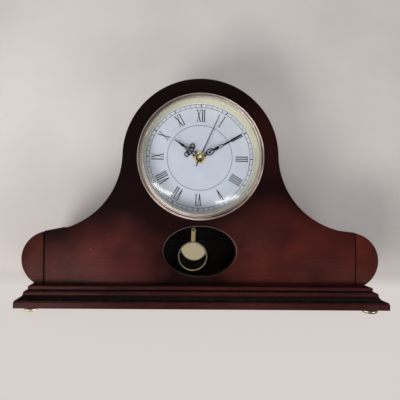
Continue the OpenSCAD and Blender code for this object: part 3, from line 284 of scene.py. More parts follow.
class Bench:
    """Lays out the nodes of one tree."""

    def __init__(self, tree: bpy.types.NodeTree) -> None:
        """Keeps the tree that the nodes go into."""
        self.tree = tree

    def add(self, kind: str, **settings: object) -> bpy.types.Node:
        """Adds a node.

        Args:
            kind: Blender's name for the node type.
            **settings: Values for the node's own properties.

        Returns:
            The new node.
        """
        node = self.tree.nodes.new(kind)
        for key, value in settings.items():
            setattr(node, key, value)
        return node

    def feed(self, socket: bpy.types.NodeSocket, value: Feed) -> None:
        """Links an input to a signal, or gives it a plain value.

        Args:
            socket: Input that is set.
            value: Signal that is linked in, or the plain value.
        """
        if isinstance(value, Signal):
            self.tree.links.new(value.socket, socket)
        else:
            socket.default_value = value

    def wire(self, node: bpy.types.Node, *ordered: Feed, **named: Feed) -> None:
        """Feeds the inputs of a node.

        Args:
            node: The node.
            *ordered: Values of the first inputs, for nodes whose inputs share a name.
            **named: Values by the input's name, with an underscore for a blank.
        """
        for socket, value in zip(node.inputs, ordered):
            self.feed(socket, value)
        for name, value in named.items():
            self.feed(node.inputs[name.replace("_", " ")], value)

    def result(self, node: bpy.types.Node, output: Union[str, int], *ordered: Feed, **named: Feed) -> Signal:
        """Feeds the inputs of a node, as wire does, and gives one of its outputs, by name or number."""
        self.wire(node, *ordered, **named)
        return Signal(self, node.outputs[output])

    def outputs(self, kind: str) -> dict[str, Signal]:
        """Adds a node and gives all its outputs by name."""
        return {socket.name: Signal(self, socket) for socket in self.add(kind).outputs}

    def stretched(self, vector: Feed, factors: Spot, shift: Spot = (0.0, 0.0, 0.0)) -> Signal:
        """Scales a position along each axis, then moves it.

        Args:
            vector: Position.
            factors: Scale along X, Y and Z.
            shift: Offset that is added.

        Returns:
            The new position.
        """
        return self.result(self.add("ShaderNodeMapping"), "Vector", Vector=vector, Scale=factors, Location=shift)

    def noise(self, vector: Feed, scale: Feed, detail: float = 2.0, rough: float = 0.5,
              warp: float = 0.0) -> Signal:
        """Soft noise around 0.5.

        Args:
            vector: Position.
            scale: Waves per metre.
            detail: Number of finer layers.
            rough: Weight of the finer layers.
            warp: How far the pattern is pulled about.

        Returns:
            The noise value.
        """
        return self.result(self.add("ShaderNodeTexNoise"), "Fac", Vector=vector, Scale=scale, Detail=detail,
                           Roughness=rough, Distortion=warp)

    def cells(self, vector: Feed, scale: Feed, feature: str = "F1") -> Signal:
        """Distance to the nearest point, or edge, of scattered cells.

        Args:
            vector: Position.
            scale: Cells per metre.
            feature: F1 for points and DISTANCE_TO_EDGE for edges.

        Returns:
            The distance.
        """
        return self.result(self.add("ShaderNodeTexVoronoi", feature=feature), "Distance", Vector=vector,
                           Scale=scale)

    def span(self, value: Feed, low: float, high: float, out_low: float = 0.0, out_high: float = 1.0) -> Signal:
        """Smooth step of a value from one range to another.

        Args:
            value: Value that is mapped.
            low: Where the step starts.
            high: Where the step ends.
            out_low: Result at the start.
            out_high: Result at the end.

        Returns:
            The mapped value.
        """
        return self.result(self.add("ShaderNodeMapRange", interpolation_type="SMOOTHSTEP"), "Result",
                           Value=value, From_Min=low, From_Max=high, To_Min=out_low, To_Max=out_high)

    def maths(self, operation: str, first: Feed, second: Feed = 0.0) -> Signal:
        """One step of arithmetic, by Blender's name for the operation."""
        return self.result(self.add("ShaderNodeMath", operation=operation), 0, first, second)

    def blend(self, share: Feed, first: Feed, second: Feed, mode: str = "MIX") -> Signal:
        """Mixes two colours.

        Args:
            share: Share of the second colour.
            first: First colour.
            second: Second colour.
            mode: Blender's name for the kind of mix.

        Returns:
            The mixed colour.
        """
        node = self.add("ShaderNodeMix", data_type="RGBA", blend_type=mode)
        for number, value in zip(COLOUR_MIX_INPUTS, (share, first, second)):
            self.feed(node.inputs[number], value)
        return Signal(self, node.outputs[COLOUR_MIX_OUTPUT])

    def mix(self, share: Feed, first: Signal, second: Signal) -> Signal:
        """Mixes two shaders by the share of the second."""
        return self.result(self.add("ShaderNodeMixShader"), 0, share, first, second)

    def axis(self, vector: Feed, label: str) -> Signal:
        """One coordinate of a position, by its letter."""
        return self.result(self.add("ShaderNodeSeparateXYZ"), label, vector)

    def distance(self, vector: Feed, point: Spot) -> Signal:
        """Distance of a position from a point."""
        return self.result(self.add("ShaderNodeVectorMath", operation="DISTANCE"), "Value", vector, point)

    def bump(self, height: Feed, depth: float, strength: float = 1.0) -> Signal:
        """Normal of a surface raised by a height.

        Args:
            height: Height from 0 to 1.
            depth: Size of a height of 1, in metres.
            strength: Share of the effect.

        Returns:
            The normal.
        """
        return self.result(self.add("ShaderNodeBump"), "Normal", Strength=strength, Distance=depth,
                           Height=height)

    def glow(self, colour: Feed) -> Signal:
        """Shader that gives off a colour."""
        return self.result(self.add("ShaderNodeEmission"), "Emission", Color=colour)

    def effect(self, tree: bpy.types.NodeTree, **values: Feed) -> dict[str, Signal]:
        """Places a shared group.

        Args:
            tree: The group.
            **values: Inputs by name, with an underscore for a blank.

        Returns:
            Its outputs by name.
        """
        node = self.add("ShaderNodeGroup", node_tree=tree)
        self.wire(node, **values)
        return {socket.name: Signal(self, socket) for socket in node.outputs}


class GroupBench(Bench):
    """Lays out a shared node group."""

    def __init__(self, name: str, inputs: dict[str, str], outputs: dict[str, str]) -> None:
        """Starts the group with its sockets.

        Args:
            name: Name of the group.
            inputs: Kind of each input by its name.
            outputs: Kind of each output by its name.
        """
        super().__init__(bpy.data.node_groups.new(name, "ShaderNodeTree"))
        for way, sockets in (("INPUT", inputs), ("OUTPUT", outputs)):
            for label, kind in sockets.items():
                self.tree.interface.new_socket(name=label, in_out=way, socket_type=f"NodeSocket{kind}")
        self.given = self.outputs("NodeGroupInput")
        self.place = self.given["Vector"]

    def done(self, **results: Feed) -> bpy.types.NodeTree:
        """Feeds the group's outputs and gives the finished group."""
        self.wire(self.add("NodeGroupOutput"), **results)
        return self.tree


class Effects:
    """Shared node groups, each laid out when it is first asked for."""

    @cached_property
    def stain(self) -> bpy.types.NodeTree:
        """Stained timber under lacquer: clouds of stain, long fibres and fine open pores.

        The colour goes from deep to body with the clouds and from body to glow with the larger patches. The
        fibres darken it in thin lines, and the pores are short dark dashes that are also sunk.

        Returns:
            The group.
        """
        bench = GroupBench("stain", {"Vector": "Vector", "Fibre Vector": "Vector", "Deep": "Color",
                                     "Body": "Color", "Glow": "Color", "Clouds": "Float", "Fibres": "Float"},
                           {"Color": "Color", "Height": "Float", "Sheen": "Float"})
        given = bench.given
        along, deep, size = given["Fibre Vector"], given["Deep"], given["Clouds"]
        clouds = bench.noise(bench.place, size, 3.0, 0.5, 0.3)
        patches = bench.noise(bench.stretched(bench.place, (0.35, 0.35, 0.45), (0.31, 0.1, 0.07)), size)
        fibres = bench.noise(along, given["Fibres"], 5.0, 0.6, 0.25)
        pores = bench.span(bench.noise(bench.stretched(along, (3.2, 3.2, 3.2)), given["Fibres"]), 0.60, 0.70)
        colour = bench.blend(bench.span(clouds, 0.25, 0.6, 0.62, 1.0), deep, given["Body"])
        colour = bench.blend(bench.span(patches, 0.42, 0.72, 0.0, 0.6), colour, given["Glow"])
        colour = bench.blend(bench.span(fibres, 0.42, 0.72, 0.0, 0.26), colour, deep)
        colour = bench.blend(pores * 0.45, colour, deep, "MULTIPLY")
        return bench.done(Color=colour, Height=fibres * 0.35 - pores * 0.4, Sheen=bench.span(clouds, 0.3, 0.7))

    @cached_property
    def scuffs(self) -> bpy.types.NodeTree:
        """Hairline rubs: thin lines where stretched noise crosses its middle, broken up by larger patches.

        Returns:
            The group.
        """
        bench = GroupBench("scuffs", {"Vector": "Vector", "Density": "Float"}, {"Mask": "Float"})
        masks = []
        for factors, shift in (((1.0, 1.0, 0.14), (0.0, 0.0, 0.0)), ((0.13, 1.0, 1.0), (0.4, 0.2, 0.7))):
            lines = bench.noise(bench.stretched(bench.place, factors, shift), bench.given["Density"], 1.0)
            masks.append(bench.span(abs(lines - 0.5), 0.0, 0.006, 1.0, 0.0))
        patch = bench.span(bench.noise(bench.place, 70.0, 1.0), 0.56, 0.66)
        return bench.done(Mask=masks[0].most(masks[1]) * patch)

    @cached_property
    def bloom(self) -> bpy.types.NodeTree:
        """Uneven handling marks: soft patches and a fine grain, for roughness and tint.

        Returns:
            The group.
        """
        bench = GroupBench("bloom", {"Vector": "Vector", "Patches": "Float", "Grain": "Float"},
                           {"Patch": "Float", "Fine": "Float"})
        soft = bench.noise(bench.place, bench.given["Patches"], 3.0, 0.6, 0.3)
        fine = bench.noise(bench.place, bench.given["Grain"], 3.0, 0.6)
        return bench.done(Patch=bench.span(soft, 0.3, 0.7), Fine=fine)

    @cached_property
    def dust(self) -> bpy.types.NodeTree:
        """Dust on faces that look up: the normal's upward part times a broken-up noise.

        Returns:
            The group.
        """
        bench = GroupBench("dust", {"Vector": "Vector", "Amount": "Float"}, {"Mask": "Float"})
        upward = bench.axis(bench.outputs("ShaderNodeNewGeometry")["Normal"], "Z")
        broken = bench.span(bench.noise(bench.place, 160.0, 5.0, 0.7), 0.35, 0.75)
        return bench.done(Mask=bench.span(upward, 0.55, 1.0) * broken * bench.given["Amount"])


EFFECTS = Effects()


class MaterialBench(Bench):
    """Lays out a material."""

    def __init__(self, name: str) -> None:
        """Starts the material with the position on the object.

        Args:
            name: Name of the material.
        """
        self.material = bpy.data.materials.new(name)
        self.material.use_nodes = True
        self.material.node_tree.nodes.clear()
        super().__init__(self.material.node_tree)
        self.place = self.outputs("ShaderNodeTexCoord")["Object"]

    def bloom(self, patches: float, grain: float) -> tuple[Signal, Signal]:
        """Soft patches and fine grain of handling marks, each by its waves per metre."""
        marks = self.effect(EFFECTS.bloom, Vector=self.place, Patches=patches, Grain=grain)
        return marks["Patch"], marks["Fine"]

    def scuffs(self, density: float) -> Signal:
        """Where hairline rubs lie."""
        return self.effect(EFFECTS.scuffs, Vector=self.place, Density=density)["Mask"]

    def dust(self, amount: float) -> Signal:
        """Where dust lies."""
        return self.effect(EFFECTS.dust, Vector=self.place, Amount=amount)["Mask"]

    def band(self, label: str, middle: float, inner: float, outer: float, share: float) -> Signal:
        """Band across an axis that fades out on both sides.

        Args:
            label: Letter of the axis.
            middle: Where the band lies on it.
            inner: Distance from the middle where it starts to fade.
            outer: Distance from the middle where it is gone.
            share: Value in the band.

        Returns:
            The value.
        """
        return self.span(abs(self.axis(self.place, label) - middle), inner, outer, share, 0.0)

    def done(self, surface: Signal) -> bpy.types.Material:
        """Shows a shader on the surface and gives the finished material."""
        self.wire(self.add("ShaderNodeOutputMaterial"), Surface=surface)
        return self.material


# Finishes


@dataclass(frozen=True)
class Finish:
    """A surface finish that can make its material."""

    name: str

    def make(self) -> bpy.types.Material:
        """Makes the material from what the finish lays out."""
        bench = MaterialBench(self.name)
        shader = bench.add("ShaderNodeBsdfPrincipled")
        return bench.done(self.covered(bench, bench.result(shader, "BSDF", **self.lay(bench))))

    def lay(self, bench: MaterialBench) -> dict[str, Feed]:
        """Lays out the nodes that feed the Principled shader.

        Args:
            bench: Bench of the material.

        Returns:
            What each of the shader's inputs gets, with an underscore for a blank.
        """
        raise NotImplementedError

    def covered(self, bench: MaterialBench, surface: Signal) -> Signal:
        """Shader that the surface gets in the end, here the Principled one as it is.

        Args:
            bench: Bench of the material.
            surface: The Principled shader.

        Returns:
            The shader.
        """
        return surface


@dataclass(frozen=True)
class LacqueredTimber(Finish):
    """Timber stained dark red-brown under satin lacquer, with the marks that its fields place.

    The spots of painted light are (x, z, radius, share) where the painted shade toward the deep colour is lifted;
    this painted shade and light is in part the toning of the lacquer. The marks are (x, z, radius) of bare specks,
    the joint bands (x, share, half width) are painted shadow along the joints, the recess bands (low z, high z)
    are painted shade in the moulding, and the highlight oval is the (x, z, half width, half height) of the window
    that a painted highlight line surrounds. Past inside_y it is black, partly a black finish inside and partly
    painted shade.
    """

    deep: Colour = tone(12, 5, 5)
    body: Colour = tone(70, 28, 24)
    glow: Colour = tone(98, 38, 30)
    bare: Colour = tone(160, 84, 54)
    scuffed: Colour = tone(150, 110, 100)
    # Colour of the painted highlight line round the window
    painted_highlight_colour: Colour = tone(140, 120, 118)
    dusty: Colour = tone(150, 140, 132)
    # Black inside the case: partly a black finish, partly painted shade that keeps the inside dark
    black_stain_and_shade: Colour = tone(24, 16, 13)
    # Colour of the painted shadow along the joints
    seam_shadow_colour: Colour = tone(5, 3, 3)
    # Colour of the painted shade in the recesses of the moulding
    hollow_shade_colour: Colour = tone(7, 3, 3)
    grain: Grain = Grain.ALONG_X
    clouds: float = 26.0
    fibres: float = 420.0
    roughness: float = 0.36
    # Share of painted shade toward the deep colour, lifted by spots of painted light at (x, z, radius, share)
    shade: float = 0.0
    painted_light_spots: tuple[tuple[float, float, float, float], ...] = ()
    marks: tuple[tuple[float, float, float], ...] = ()
    # Painted shadow bands along the joints: x, share, half width
    seam_shadows: tuple[tuple[float, float, float], ...] = ()
    # Bands of painted shade in the recesses, as low z and high z
    painted_shade_hollows: tuple[tuple[float, float], ...] = ()
    # Window oval (x, z, half width, half height) that a painted highlight line surrounds
    wear_and_painted_highlight: Optional[tuple[float, float, float, float]] = None
    inside_y: Optional[float] = None

    def shadow(self, bench: MaterialBench) -> Feed:
        """Share of the painted shade, which the spots of painted light lift with an uneven edge.

        Args:
            bench: Bench of the material.

        Returns:
            The share.
        """
        uneven = (bench.noise(bench.place, 14.0) - 0.5) * 0.05
        lifted: Feed = 0.0
        for x, z, radius, share in self.painted_light_spots:
            away = bench.distance(bench.stretched(bench.place, (0.75, 0.0, 1.0)), (x * 0.75, 0.0, z))
            lifted = bench.maths("MAXIMUM", lifted, bench.span(away + uneven, radius * 0.25, radius, share, 0.0))
        return (1.0 - lifted) * self.shade

    def specks(self, bench: MaterialBench, x: float, z: float, radius: float) -> Signal:
        """Where bare specks show round a point of the front.

        Args:
            bench: Bench of the material.
            x: X of the point.
            z: Z of the point.
            radius: How far from the point the specks reach.

        Returns:
            The mask.
        """
        flat = bench.stretched(bench.place, (1.0, 0.0, 1.0))
        near = bench.span(bench.distance(flat, (x, 0.0, z)), radius * 0.25, radius, 1.0, 0.0)
        kept = bench.span(bench.noise(flat, 330.0, 1.0), 0.5, 0.58)
        return near * bench.span(bench.cells(flat, 620.0), 0.14, 0.34, 0.8, 0.0) * kept

    def painted_highlight_line(self, bench: MaterialBench) -> Signal:
        """Painted highlight: a thin pale line round the window oval, stronger along its top.

        Args:
            bench: Bench of the material.

        Returns:
            The mask.
        """
        x, z, half_w, half_h = self.wear_and_painted_highlight
        oval = bench.stretched(bench.place, (1 / half_w, 0.0, 1 / half_h))
        off = abs(bench.distance(oval, (x / half_w, 0.0, z / half_h)) - 1.014)
        upper = bench.span(bench.axis(bench.place, "Z"), z - half_h * 0.7, z + half_h * 0.6, 0.12, 0.62)
        return bench.span(off, 0.003, 0.011, 1.0, 0.0) * upper

    def lay(self, bench: MaterialBench) -> dict[str, Feed]:
        """Lays out stain, painted shade and painted light, marks, a painted highlight line and lacquer; see the
        base class for the arguments.
        """
        place = bench.place
        stain = bench.effect(
            EFFECTS.stain, Vector=place, Fibre_Vector=bench.stretched(place, self.grain.value), Deep=self.deep,
            Body=self.body, Glow=self.glow, Clouds=self.clouds, Fibres=self.fibres)
        colour = stain["Color"]
        # Painted shade toward the deep colour, lifted by the spots of painted light
        if self.shade > 0:
            colour = bench.blend(self.shadow(bench), colour, self.deep)
        for mark in self.marks:
            colour = bench.blend(self.specks(bench, *mark), colour, self.bare)
        colour = bench.blend(bench.scuffs(90.0) * 0.07, colour, self.scuffed)
        # Painted shadow along the joints of the front with the end blocks
        for x, share, half in self.seam_shadows:
            colour = bench.blend(bench.band("X", x, half * 0.5, half, share), colour, self.seam_shadow_colour)
        # Painted shade in the cove and the quirk of the moulding
        for low, high in self.painted_shade_hollows:
            half = (high - low) / 2
            dark = bench.band("Z", (low + high) / 2, half * 0.6, half * 1.1, 0.85)
            colour = bench.blend(dark, colour, self.hollow_shade_colour)
        # Painted highlight: a thin pale line round the window opening
        if self.wear_and_painted_highlight is not None:
            colour = bench.blend(self.painted_highlight_line(bench), colour, self.painted_highlight_colour)
        dust = bench.dust(0.10)
        colour = bench.blend(dust, colour, self.dusty)
        # Black inside the case: partly a black finish, partly painted shade that keeps the inside dark
        if self.inside_y is not None:
            inner = bench.span(bench.axis(place, "Y"), self.inside_y, self.inside_y + 0.0002, 1.0, 0.0)
            colour = bench.blend(inner, colour, self.black_stain_and_shade)
        height = stain["Height"] * 0.6 + bench.noise(place, 900.0) * 0.25
        return dict(Base_Color=colour, Roughness=stain["Sheen"] * 0.08 + self.roughness + dust * 0.3,
                    Specular_IOR_Level=0.22, Coat_Weight=0.05, Coat_Roughness=0.22,
                    Normal=bench.bump(height, 0.00006, 0.6))


@dataclass(frozen=True)
class FibreBoard(Finish):
    """Pressed board, dyed dark, with its flecks showing."""

    body: Colour = tone(44, 31, 24)
    fleck: Colour = tone(78, 58, 44)
    stained: Colour = tone(30, 21, 17)

    def lay(self, bench: MaterialBench) -> dict[str, Feed]:
        """Lays out the flecks; see the base class for the arguments."""
        flecks = bench.noise(bench.stretched(bench.place, (0.5, 1.0, 1.0)), 700.0, 4.0, 0.7)
        patch, fine = bench.bloom(30.0, 900.0)
        colour = bench.blend(bench.span(flecks, 0.5, 0.7), self.body, self.fleck)
        return dict(Base_Color=bench.blend(patch * 0.3, colour, self.stained),
                    Roughness=bench.span(fine, 0.2, 0.8, 0.7, 0.9), Normal=bench.bump(flecks, 0.0001))


@dataclass(frozen=True)
class Metal(Finish):
    """Metal with uneven polish, hairline rubs and a little tarnish."""

    body: Colour = tone(238, 226, 204)
    tarnish: Colour = tone(190, 158, 118)
    roughness: float = 0.12
    spread: float = 0.08
    tarnished: float = 0.3

    def lay(self, bench: MaterialBench) -> dict[str, Feed]:
        """Lays out polish and tarnish; see the base class for the arguments."""
        patch, fine = bench.bloom(140.0, 2600.0)
        return dict(Base_Color=bench.blend(patch * self.tarnished, self.body, self.tarnish),
                    Roughness=patch * self.spread + self.roughness + bench.scuffs(420.0) * 0.2,
                    Metallic=1.0, Normal=bench.bump(fine, 0.000012, 0.5))


@dataclass(frozen=True)
class Moulded(Finish):
    """Moulded plastic or rubber with a fine texture and faint handling marks."""

    body: Colour = tone(24, 24, 25)
    worn: Colour = tone(48, 48, 50)
    dusty: Colour = tone(150, 144, 136)
    roughness: float = 0.42
    texture: float = 1500.0

    def lay(self, bench: MaterialBench) -> dict[str, Feed]:
        """Lays out texture and marks; see the base class for the arguments."""
        patch, fine = bench.bloom(90.0, self.texture)
        colour = bench.blend(patch * 0.35, self.body, self.worn)
        return dict(Base_Color=bench.blend(bench.dust(0.25), colour, self.dusty),
                    Roughness=bench.span(patch, 0.0, 1.0, self.roughness - 0.05, self.roughness + 0.1),
                    Normal=bench.bump(fine, 0.00003))


@dataclass(frozen=True)
class Enamel(Finish):
    """Paint on sheet metal: a fine spray skin, faint unevenness and a thin clear coat."""

    body: Colour = tone(214, 217, 228)
    shift: Colour = tone(206, 209, 221)
    scuffed: Colour = tone(150, 150, 152)
    roughness: float = 0.36
    coat: float = 0.25
    gloss: float = 0.5

    def lay(self, bench: MaterialBench) -> dict[str, Feed]:
        """Lays out the paint; see the base class for the arguments."""
        patch, fine = bench.bloom(45.0, 1800.0)
        colour = bench.blend(patch, self.body, self.shift)
        return dict(Base_Color=bench.blend(bench.scuffs(160.0) * 0.1, colour, self.scuffed),
                    Roughness=bench.span(fine, 0.2, 0.8, self.roughness - 0.04, self.roughness + 0.06),
                    Specular_IOR_Level=self.gloss, Coat_Weight=self.coat, Coat_Roughness=0.15,
                    Normal=bench.bump(fine, 0.00001, 0.6))


@dataclass(frozen=True)
class ClearGlass(Finish):
    """Clear glass that lets lamp light through to what lies behind it."""

    tint: Colour = (0.97, 0.985, 0.99, 1.0)
    ior: float = 1.46
    coat: float = 0.0
    haze: float = 0.0

    def lay(self, bench: MaterialBench) -> dict[str, Feed]:
        """Lays out the smears of wiping; see the base class for the arguments."""
        patch, _ = bench.bloom(60.0, 500.0)
        smudged = tuple(0.97 * level for level in self.tint[:3]) + (1.0,)
        return dict(Base_Color=bench.blend(patch * 0.4, self.tint, smudged), Roughness=patch * 0.02,
                    Transmission_Weight=1.0, IOR=self.ior, Coat_Weight=self.coat, Coat_Roughness=self.haze)

    def covered(self, bench: MaterialBench, surface: Signal) -> Signal:
        """Lets shadow and diffuse rays go straight through; see the base class for the arguments."""
        through = bench.result(bench.add("ShaderNodeBsdfTransparent"), "BSDF", Color=self.tint)
        rays = bench.outputs("ShaderNodeLightPath")
        return bench.mix(rays["Is Shadow Ray"].most(rays["Is Diffuse Ray"]), surface, through)


@dataclass(frozen=True)
class PrintedInk(Finish):
    """Screen-printed ink with slightly uneven cover."""

    body: Colour = tone(38, 42, 52)
    thin: Colour = tone(74, 78, 90)

    def lay(self, bench: MaterialBench) -> dict[str, Feed]:
        """Lays out the ink; see the base class for the arguments."""
        patch, fine = bench.bloom(420.0, 3200.0)
        return dict(Base_Color=bench.blend(patch * 0.6, self.body, self.thin),
                    Roughness=bench.span(fine, 0.2, 0.8, 0.38, 0.5), Specular_IOR_Level=0.2,
                    Normal=bench.bump(fine, 0.000008))


@dataclass(frozen=True)
class Winding(Finish):
    """Enamelled copper wire wound in close turns, shown by bands across the coil's axis."""

    body: Colour = tone(196, 112, 62)
    gap: Colour = tone(92, 44, 22)
    burnt: Colour = tone(150, 76, 40)
    across: str = "Z"
    pitch: float = 0.00022

    def lay(self, bench: MaterialBench) -> dict[str, Feed]:
        """Lays out the turns; see the base class for the arguments."""
        patch, _ = bench.bloom(300.0, 3000.0)
        phase = bench.axis(bench.place, self.across) * (2 * math.pi / self.pitch)
        turns = (bench.maths("SINE", phase) + 1.0) * 0.5
        return dict(Base_Color=bench.blend(patch * 0.3, bench.blend(turns, self.gap, self.body), self.burnt),
                    Roughness=bench.span(patch, 0.0, 1.0, 0.24, 0.36), Metallic=0.85,
                    Normal=bench.bump(turns, 0.00006))


@dataclass(frozen=True)
class PrintedBoard(Finish):
    """Green circuit board with tinned tracks along the edges of scattered cells."""

    body: Colour = tone(22, 84, 52)
    track: Colour = tone(60, 128, 82)

    def lay(self, bench: MaterialBench) -> dict[str, Feed]:
        """Lays out the tracks; see the base class for the arguments."""
        patch, _ = bench.bloom(200.0, 2500.0)
        edges = bench.cells(bench.stretched(bench.place, (1.0, 1.0, 0.6)), 320.0, "DISTANCE_TO_EDGE")
        tracks = bench.span(edges, 0.06, 0.12, 1.0, 0.0)
        return dict(Base_Color=bench.blend(tracks, self.body, self.track),
                    Roughness=bench.span(patch, 0.0, 1.0, 0.28, 0.42), Normal=bench.bump(tracks, 0.00003))


@dataclass(frozen=True)
class CellSleeve(Finish):
    """Printed sleeve of a dry cell: a dark body, a copper band at the stud end and a thin pale line."""

    body: Colour = tone(26, 27, 30)
    band: Colour = tone(186, 110, 60)
    line: Colour = tone(220, 214, 200)
    # Colour of rub wear on the sleeve
    wear_and_painted_highlight: Colour = tone(70, 68, 66)
    band_from: float = 0.010

    def lay(self, bench: MaterialBench) -> dict[str, Feed]:
        """Lays out the bands; see the base class for the arguments."""
        patch, fine = bench.bloom(120.0, 1600.0)
        edge = self.band_from
        along = bench.axis(bench.place, "X")
        banded = bench.span(along, edge, edge + 0.0002)
        line = (bench.span(along, edge - 0.0014, edge - 0.0012)
                * bench.span(along, edge - 0.0006, edge - 0.0004, 1.0, 0.0))
        colour = bench.blend(line, bench.blend(banded, self.body, self.band), self.line)
        return dict(Base_Color=bench.blend(patch * 0.15, colour, self.wear_and_painted_highlight),
                    Roughness=bench.span(patch, 0.0, 1.0, 0.22, 0.34), Metallic=banded * 0.6,
                    Normal=bench.bump(fine, 0.00001))


class FinishShop:
    """Keeps one material for each finish and gives every piece its own."""

    def __init__(self) -> None:
        """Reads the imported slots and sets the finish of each, and of the nodes that differ from theirs."""
        self.slots = {node: piece.material_slots[0].material.name.split(".")[0]
                      for node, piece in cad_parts.items()}
        # Painted shadow along the joints of the front with the end blocks: x, share, half width
        seam_shadows = ((-0.1855, 0.98, 0.0015), (0.1855, 0.7, 0.0010))
        self.by_slot: dict[str, Finish] = {
            # Painted shade and painted light on the front: dark away from its spots of light
            "mahogany": LacqueredTimber(
                # The line round the window oval is a painted highlight
                "lacquered_mahogany", shade=0.95, seam_shadows=seam_shadows, wear_and_painted_highlight=(0.0, 0.0685, 0.0435, 0.030),
                painted_light_spots=((-0.108, 0.062, 0.064, 1.0), (0.100, 0.064, 0.080, 0.97), (-0.165, 0.050, 0.05, 0.8),
                              (0.160, 0.050, 0.06, 0.75), (0.0, 0.035, 0.17, 0.05), (0.080, 0.200, 0.06, 0.2)),
                marks=((-0.126, 0.072, 0.012), (-0.109, 0.097, 0.0035), (0.148, 0.080, 0.003))),
            # Painted shade and painted light on the end blocks, lighter on the right
            "mahogany_light": LacqueredTimber(
                "lacquered_end_block", body=tone(72, 29, 22), glow=tone(96, 38, 27), grain=Grain.ALONG_Y,
                clouds=40.0, shade=0.6, painted_light_spots=((-0.2, 0.045, 0.3, 0.4), (0.2, 0.045, 0.3, 1.0)),
                seam_shadows=seam_shadows),
            # The moulding gets bands of painted shade in its cove and quirk
            "base_wood": LacqueredTimber(
                "lacquered_moulding", body=tone(53, 22, 20), glow=tone(71, 29, 25), fibres=520.0,
                roughness=0.33, painted_shade_hollows=((0.0130, 0.0192), (0.0232, 0.0246))),
            "raw_board": FibreBoard("dyed_board"),
            "polished_brass": Metal("polished_brass", tone(240, 230, 220), tone(180, 154, 128)),
            "brass": Metal("satin_brass", tone(214, 178, 108), roughness=0.24, tarnished=0.4),
            "clear_glass": ClearGlass("clear_glass"),
            "cream_paint": Enamel("cream_enamel", tone(230, 223, 190), tone(221, 215, 181), roughness=0.45),
            "dial_paint": Enamel("dial_enamel"),
            "black_print": PrintedInk("dial_ink", tone(6, 7, 11), tone(24, 26, 34)),
            "zinc_steel": Metal("zinc_steel", tone(186, 188, 192), tone(120, 120, 118), 0.34),
            "bright_steel": Metal("bright_steel", tone(206, 208, 212), tone(150, 150, 150), 0.2),
            "black_paint": Enamel("black_hand_enamel", tone(9, 10, 12), tone(16, 17, 20), roughness=0.4,
                                  coat=0.0, gloss=0.2),
            "black_rubber": Moulded("black_rubber", roughness=0.7, texture=2600.0),
            "black_plastic": Moulded("black_plastic"),
            "grey_plastic": Moulded("grey_plastic", tone(96, 98, 100), tone(124, 126, 128)),
            "white_nylon": Moulded("white_nylon", tone(224, 222, 214), tone(208, 205, 196), roughness=0.36),
            "board_green": PrintedBoard("circuit_board_green"),
            "copper_wire": Winding("copper_winding"),
            "magnet_grey": Metal("magnet_grey", tone(128, 128, 130), tone(84, 84, 86), 0.4),
            "battery_wrap": CellSleeve("cell_sleeve"),
        }
        # The back and the door are black inside, partly a black finish and partly painted shade
        back = partial(LacqueredTimber, roughness=0.42, inside_y=0.0405)
        self.by_node: dict[str, Finish] = {
            "top_skin": LacqueredTimber("lacquered_skin", roughness=0.42),
            "back_panel": back("lacquered_back"),
            "back_door": back("lacquered_door", grain=Grain.ALONG_Z),
            "pendulum_coil": Winding("copper_winding_drive", across="Y"),
            # The pane's dark tint is painted shade: it darkens the view into the case
            "window_pane": ClearGlass("shade_tinted_pane", tint=(0.60, 0.585, 0.575, 1.0), ior=1.05),
            "bezel_glass": ClearGlass("domed_glass", ior=1.0, coat=1.0, haze=0.12),
            "second_hand_cap": Metal("cap_brass", tone(238, 228, 192), roughness=0.2, tarnished=0.15),
            "pendulum_bob": Metal("mirror_brass", tone(222, 214, 182), roughness=0.05, spread=0.03,
                                  tarnished=0.1),
            "pendulum_rod": Metal("rod_brass", tone(196, 182, 144), roughness=0.2, tarnished=0.2),
        }
        foot = Metal("foot_brass", tone(238, 228, 204), roughness=0.26)
        self.by_node.update({node: foot for node in self.slots if node.startswith("foot_")})
        self.made: dict[str, bpy.types.Material] = {}

    def material(self, node: str) -> bpy.types.Material:
        """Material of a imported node, made once for each finish.

        Args:
            node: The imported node.

        Returns:
            The material.
        """
        finish = self.by_node.get(node, self.by_slot[self.slots[node]])
        if finish.name not in self.made:
            self.made[finish.name] = finish.make()
        return self.made[finish.name]

    def stand_in(self, piece: bpy.types.Object, body: str, node: str) -> bpy.types.Object:
        """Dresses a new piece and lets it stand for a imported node.

        Args:
            piece: The new piece.
            body: Body that it rides on.
            node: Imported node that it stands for.

        Returns:
            The piece.
        """
        piece.data.materials.append(self.material(node))
        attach(piece, body)
        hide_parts(node)
        return piece

    def dress(self, node: str) -> None:
        """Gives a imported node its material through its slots, without touching the mesh."""
        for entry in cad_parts[node].material_slots:
            entry.material = self.material(node)


# Parts of the clock


@dataclass(frozen=True)
class SubAssembly:
    """Pieces of the clock that are built and dressed together."""

    nodes: tuple[str, ...] = ()

    def build(self, shop: FinishShop) -> list[bpy.types.Object]:
        """Builds new pieces and dresses every node of the sub-assembly.

        Args:
            shop: Where the materials come from.

        Returns:
            The new pieces.
        """
        for node in self.nodes:
            shop.dress(node)
        return []


@dataclass(frozen=True)
class WoodenCase(SubAssembly):
    """Front, skin, end blocks, back and floor of the case."""

    nodes: tuple[str, ...] = ("top_skin", "case_floor", "window_pane", "pane_clips", "base_screws")
    boards: tuple[str, ...] = ("front_panel", "left_end_block", "right_end_block", "back_panel")
    eased: float = 0.0004

    def build(self, shop: FinishShop) -> list[bpy.types.Object]:
        """Eases the edges of the boards that show; see the base class for the arguments."""
        super().build(shop)
        return [shop.stand_in(eased_copy(board, f"{board}_eased", self.eased), "case", board)
                for board in self.boards]


@dataclass(frozen=True)
class MouldedBase(SubAssembly):
    """Ledge, hollow moulding, plinth and feet."""

    nodes: tuple[str, ...] = ("ledge_board", "cove_moulding", "plinth_board", "foot_front_left",
                              "foot_front_right", "foot_rear_left", "foot_rear_right")


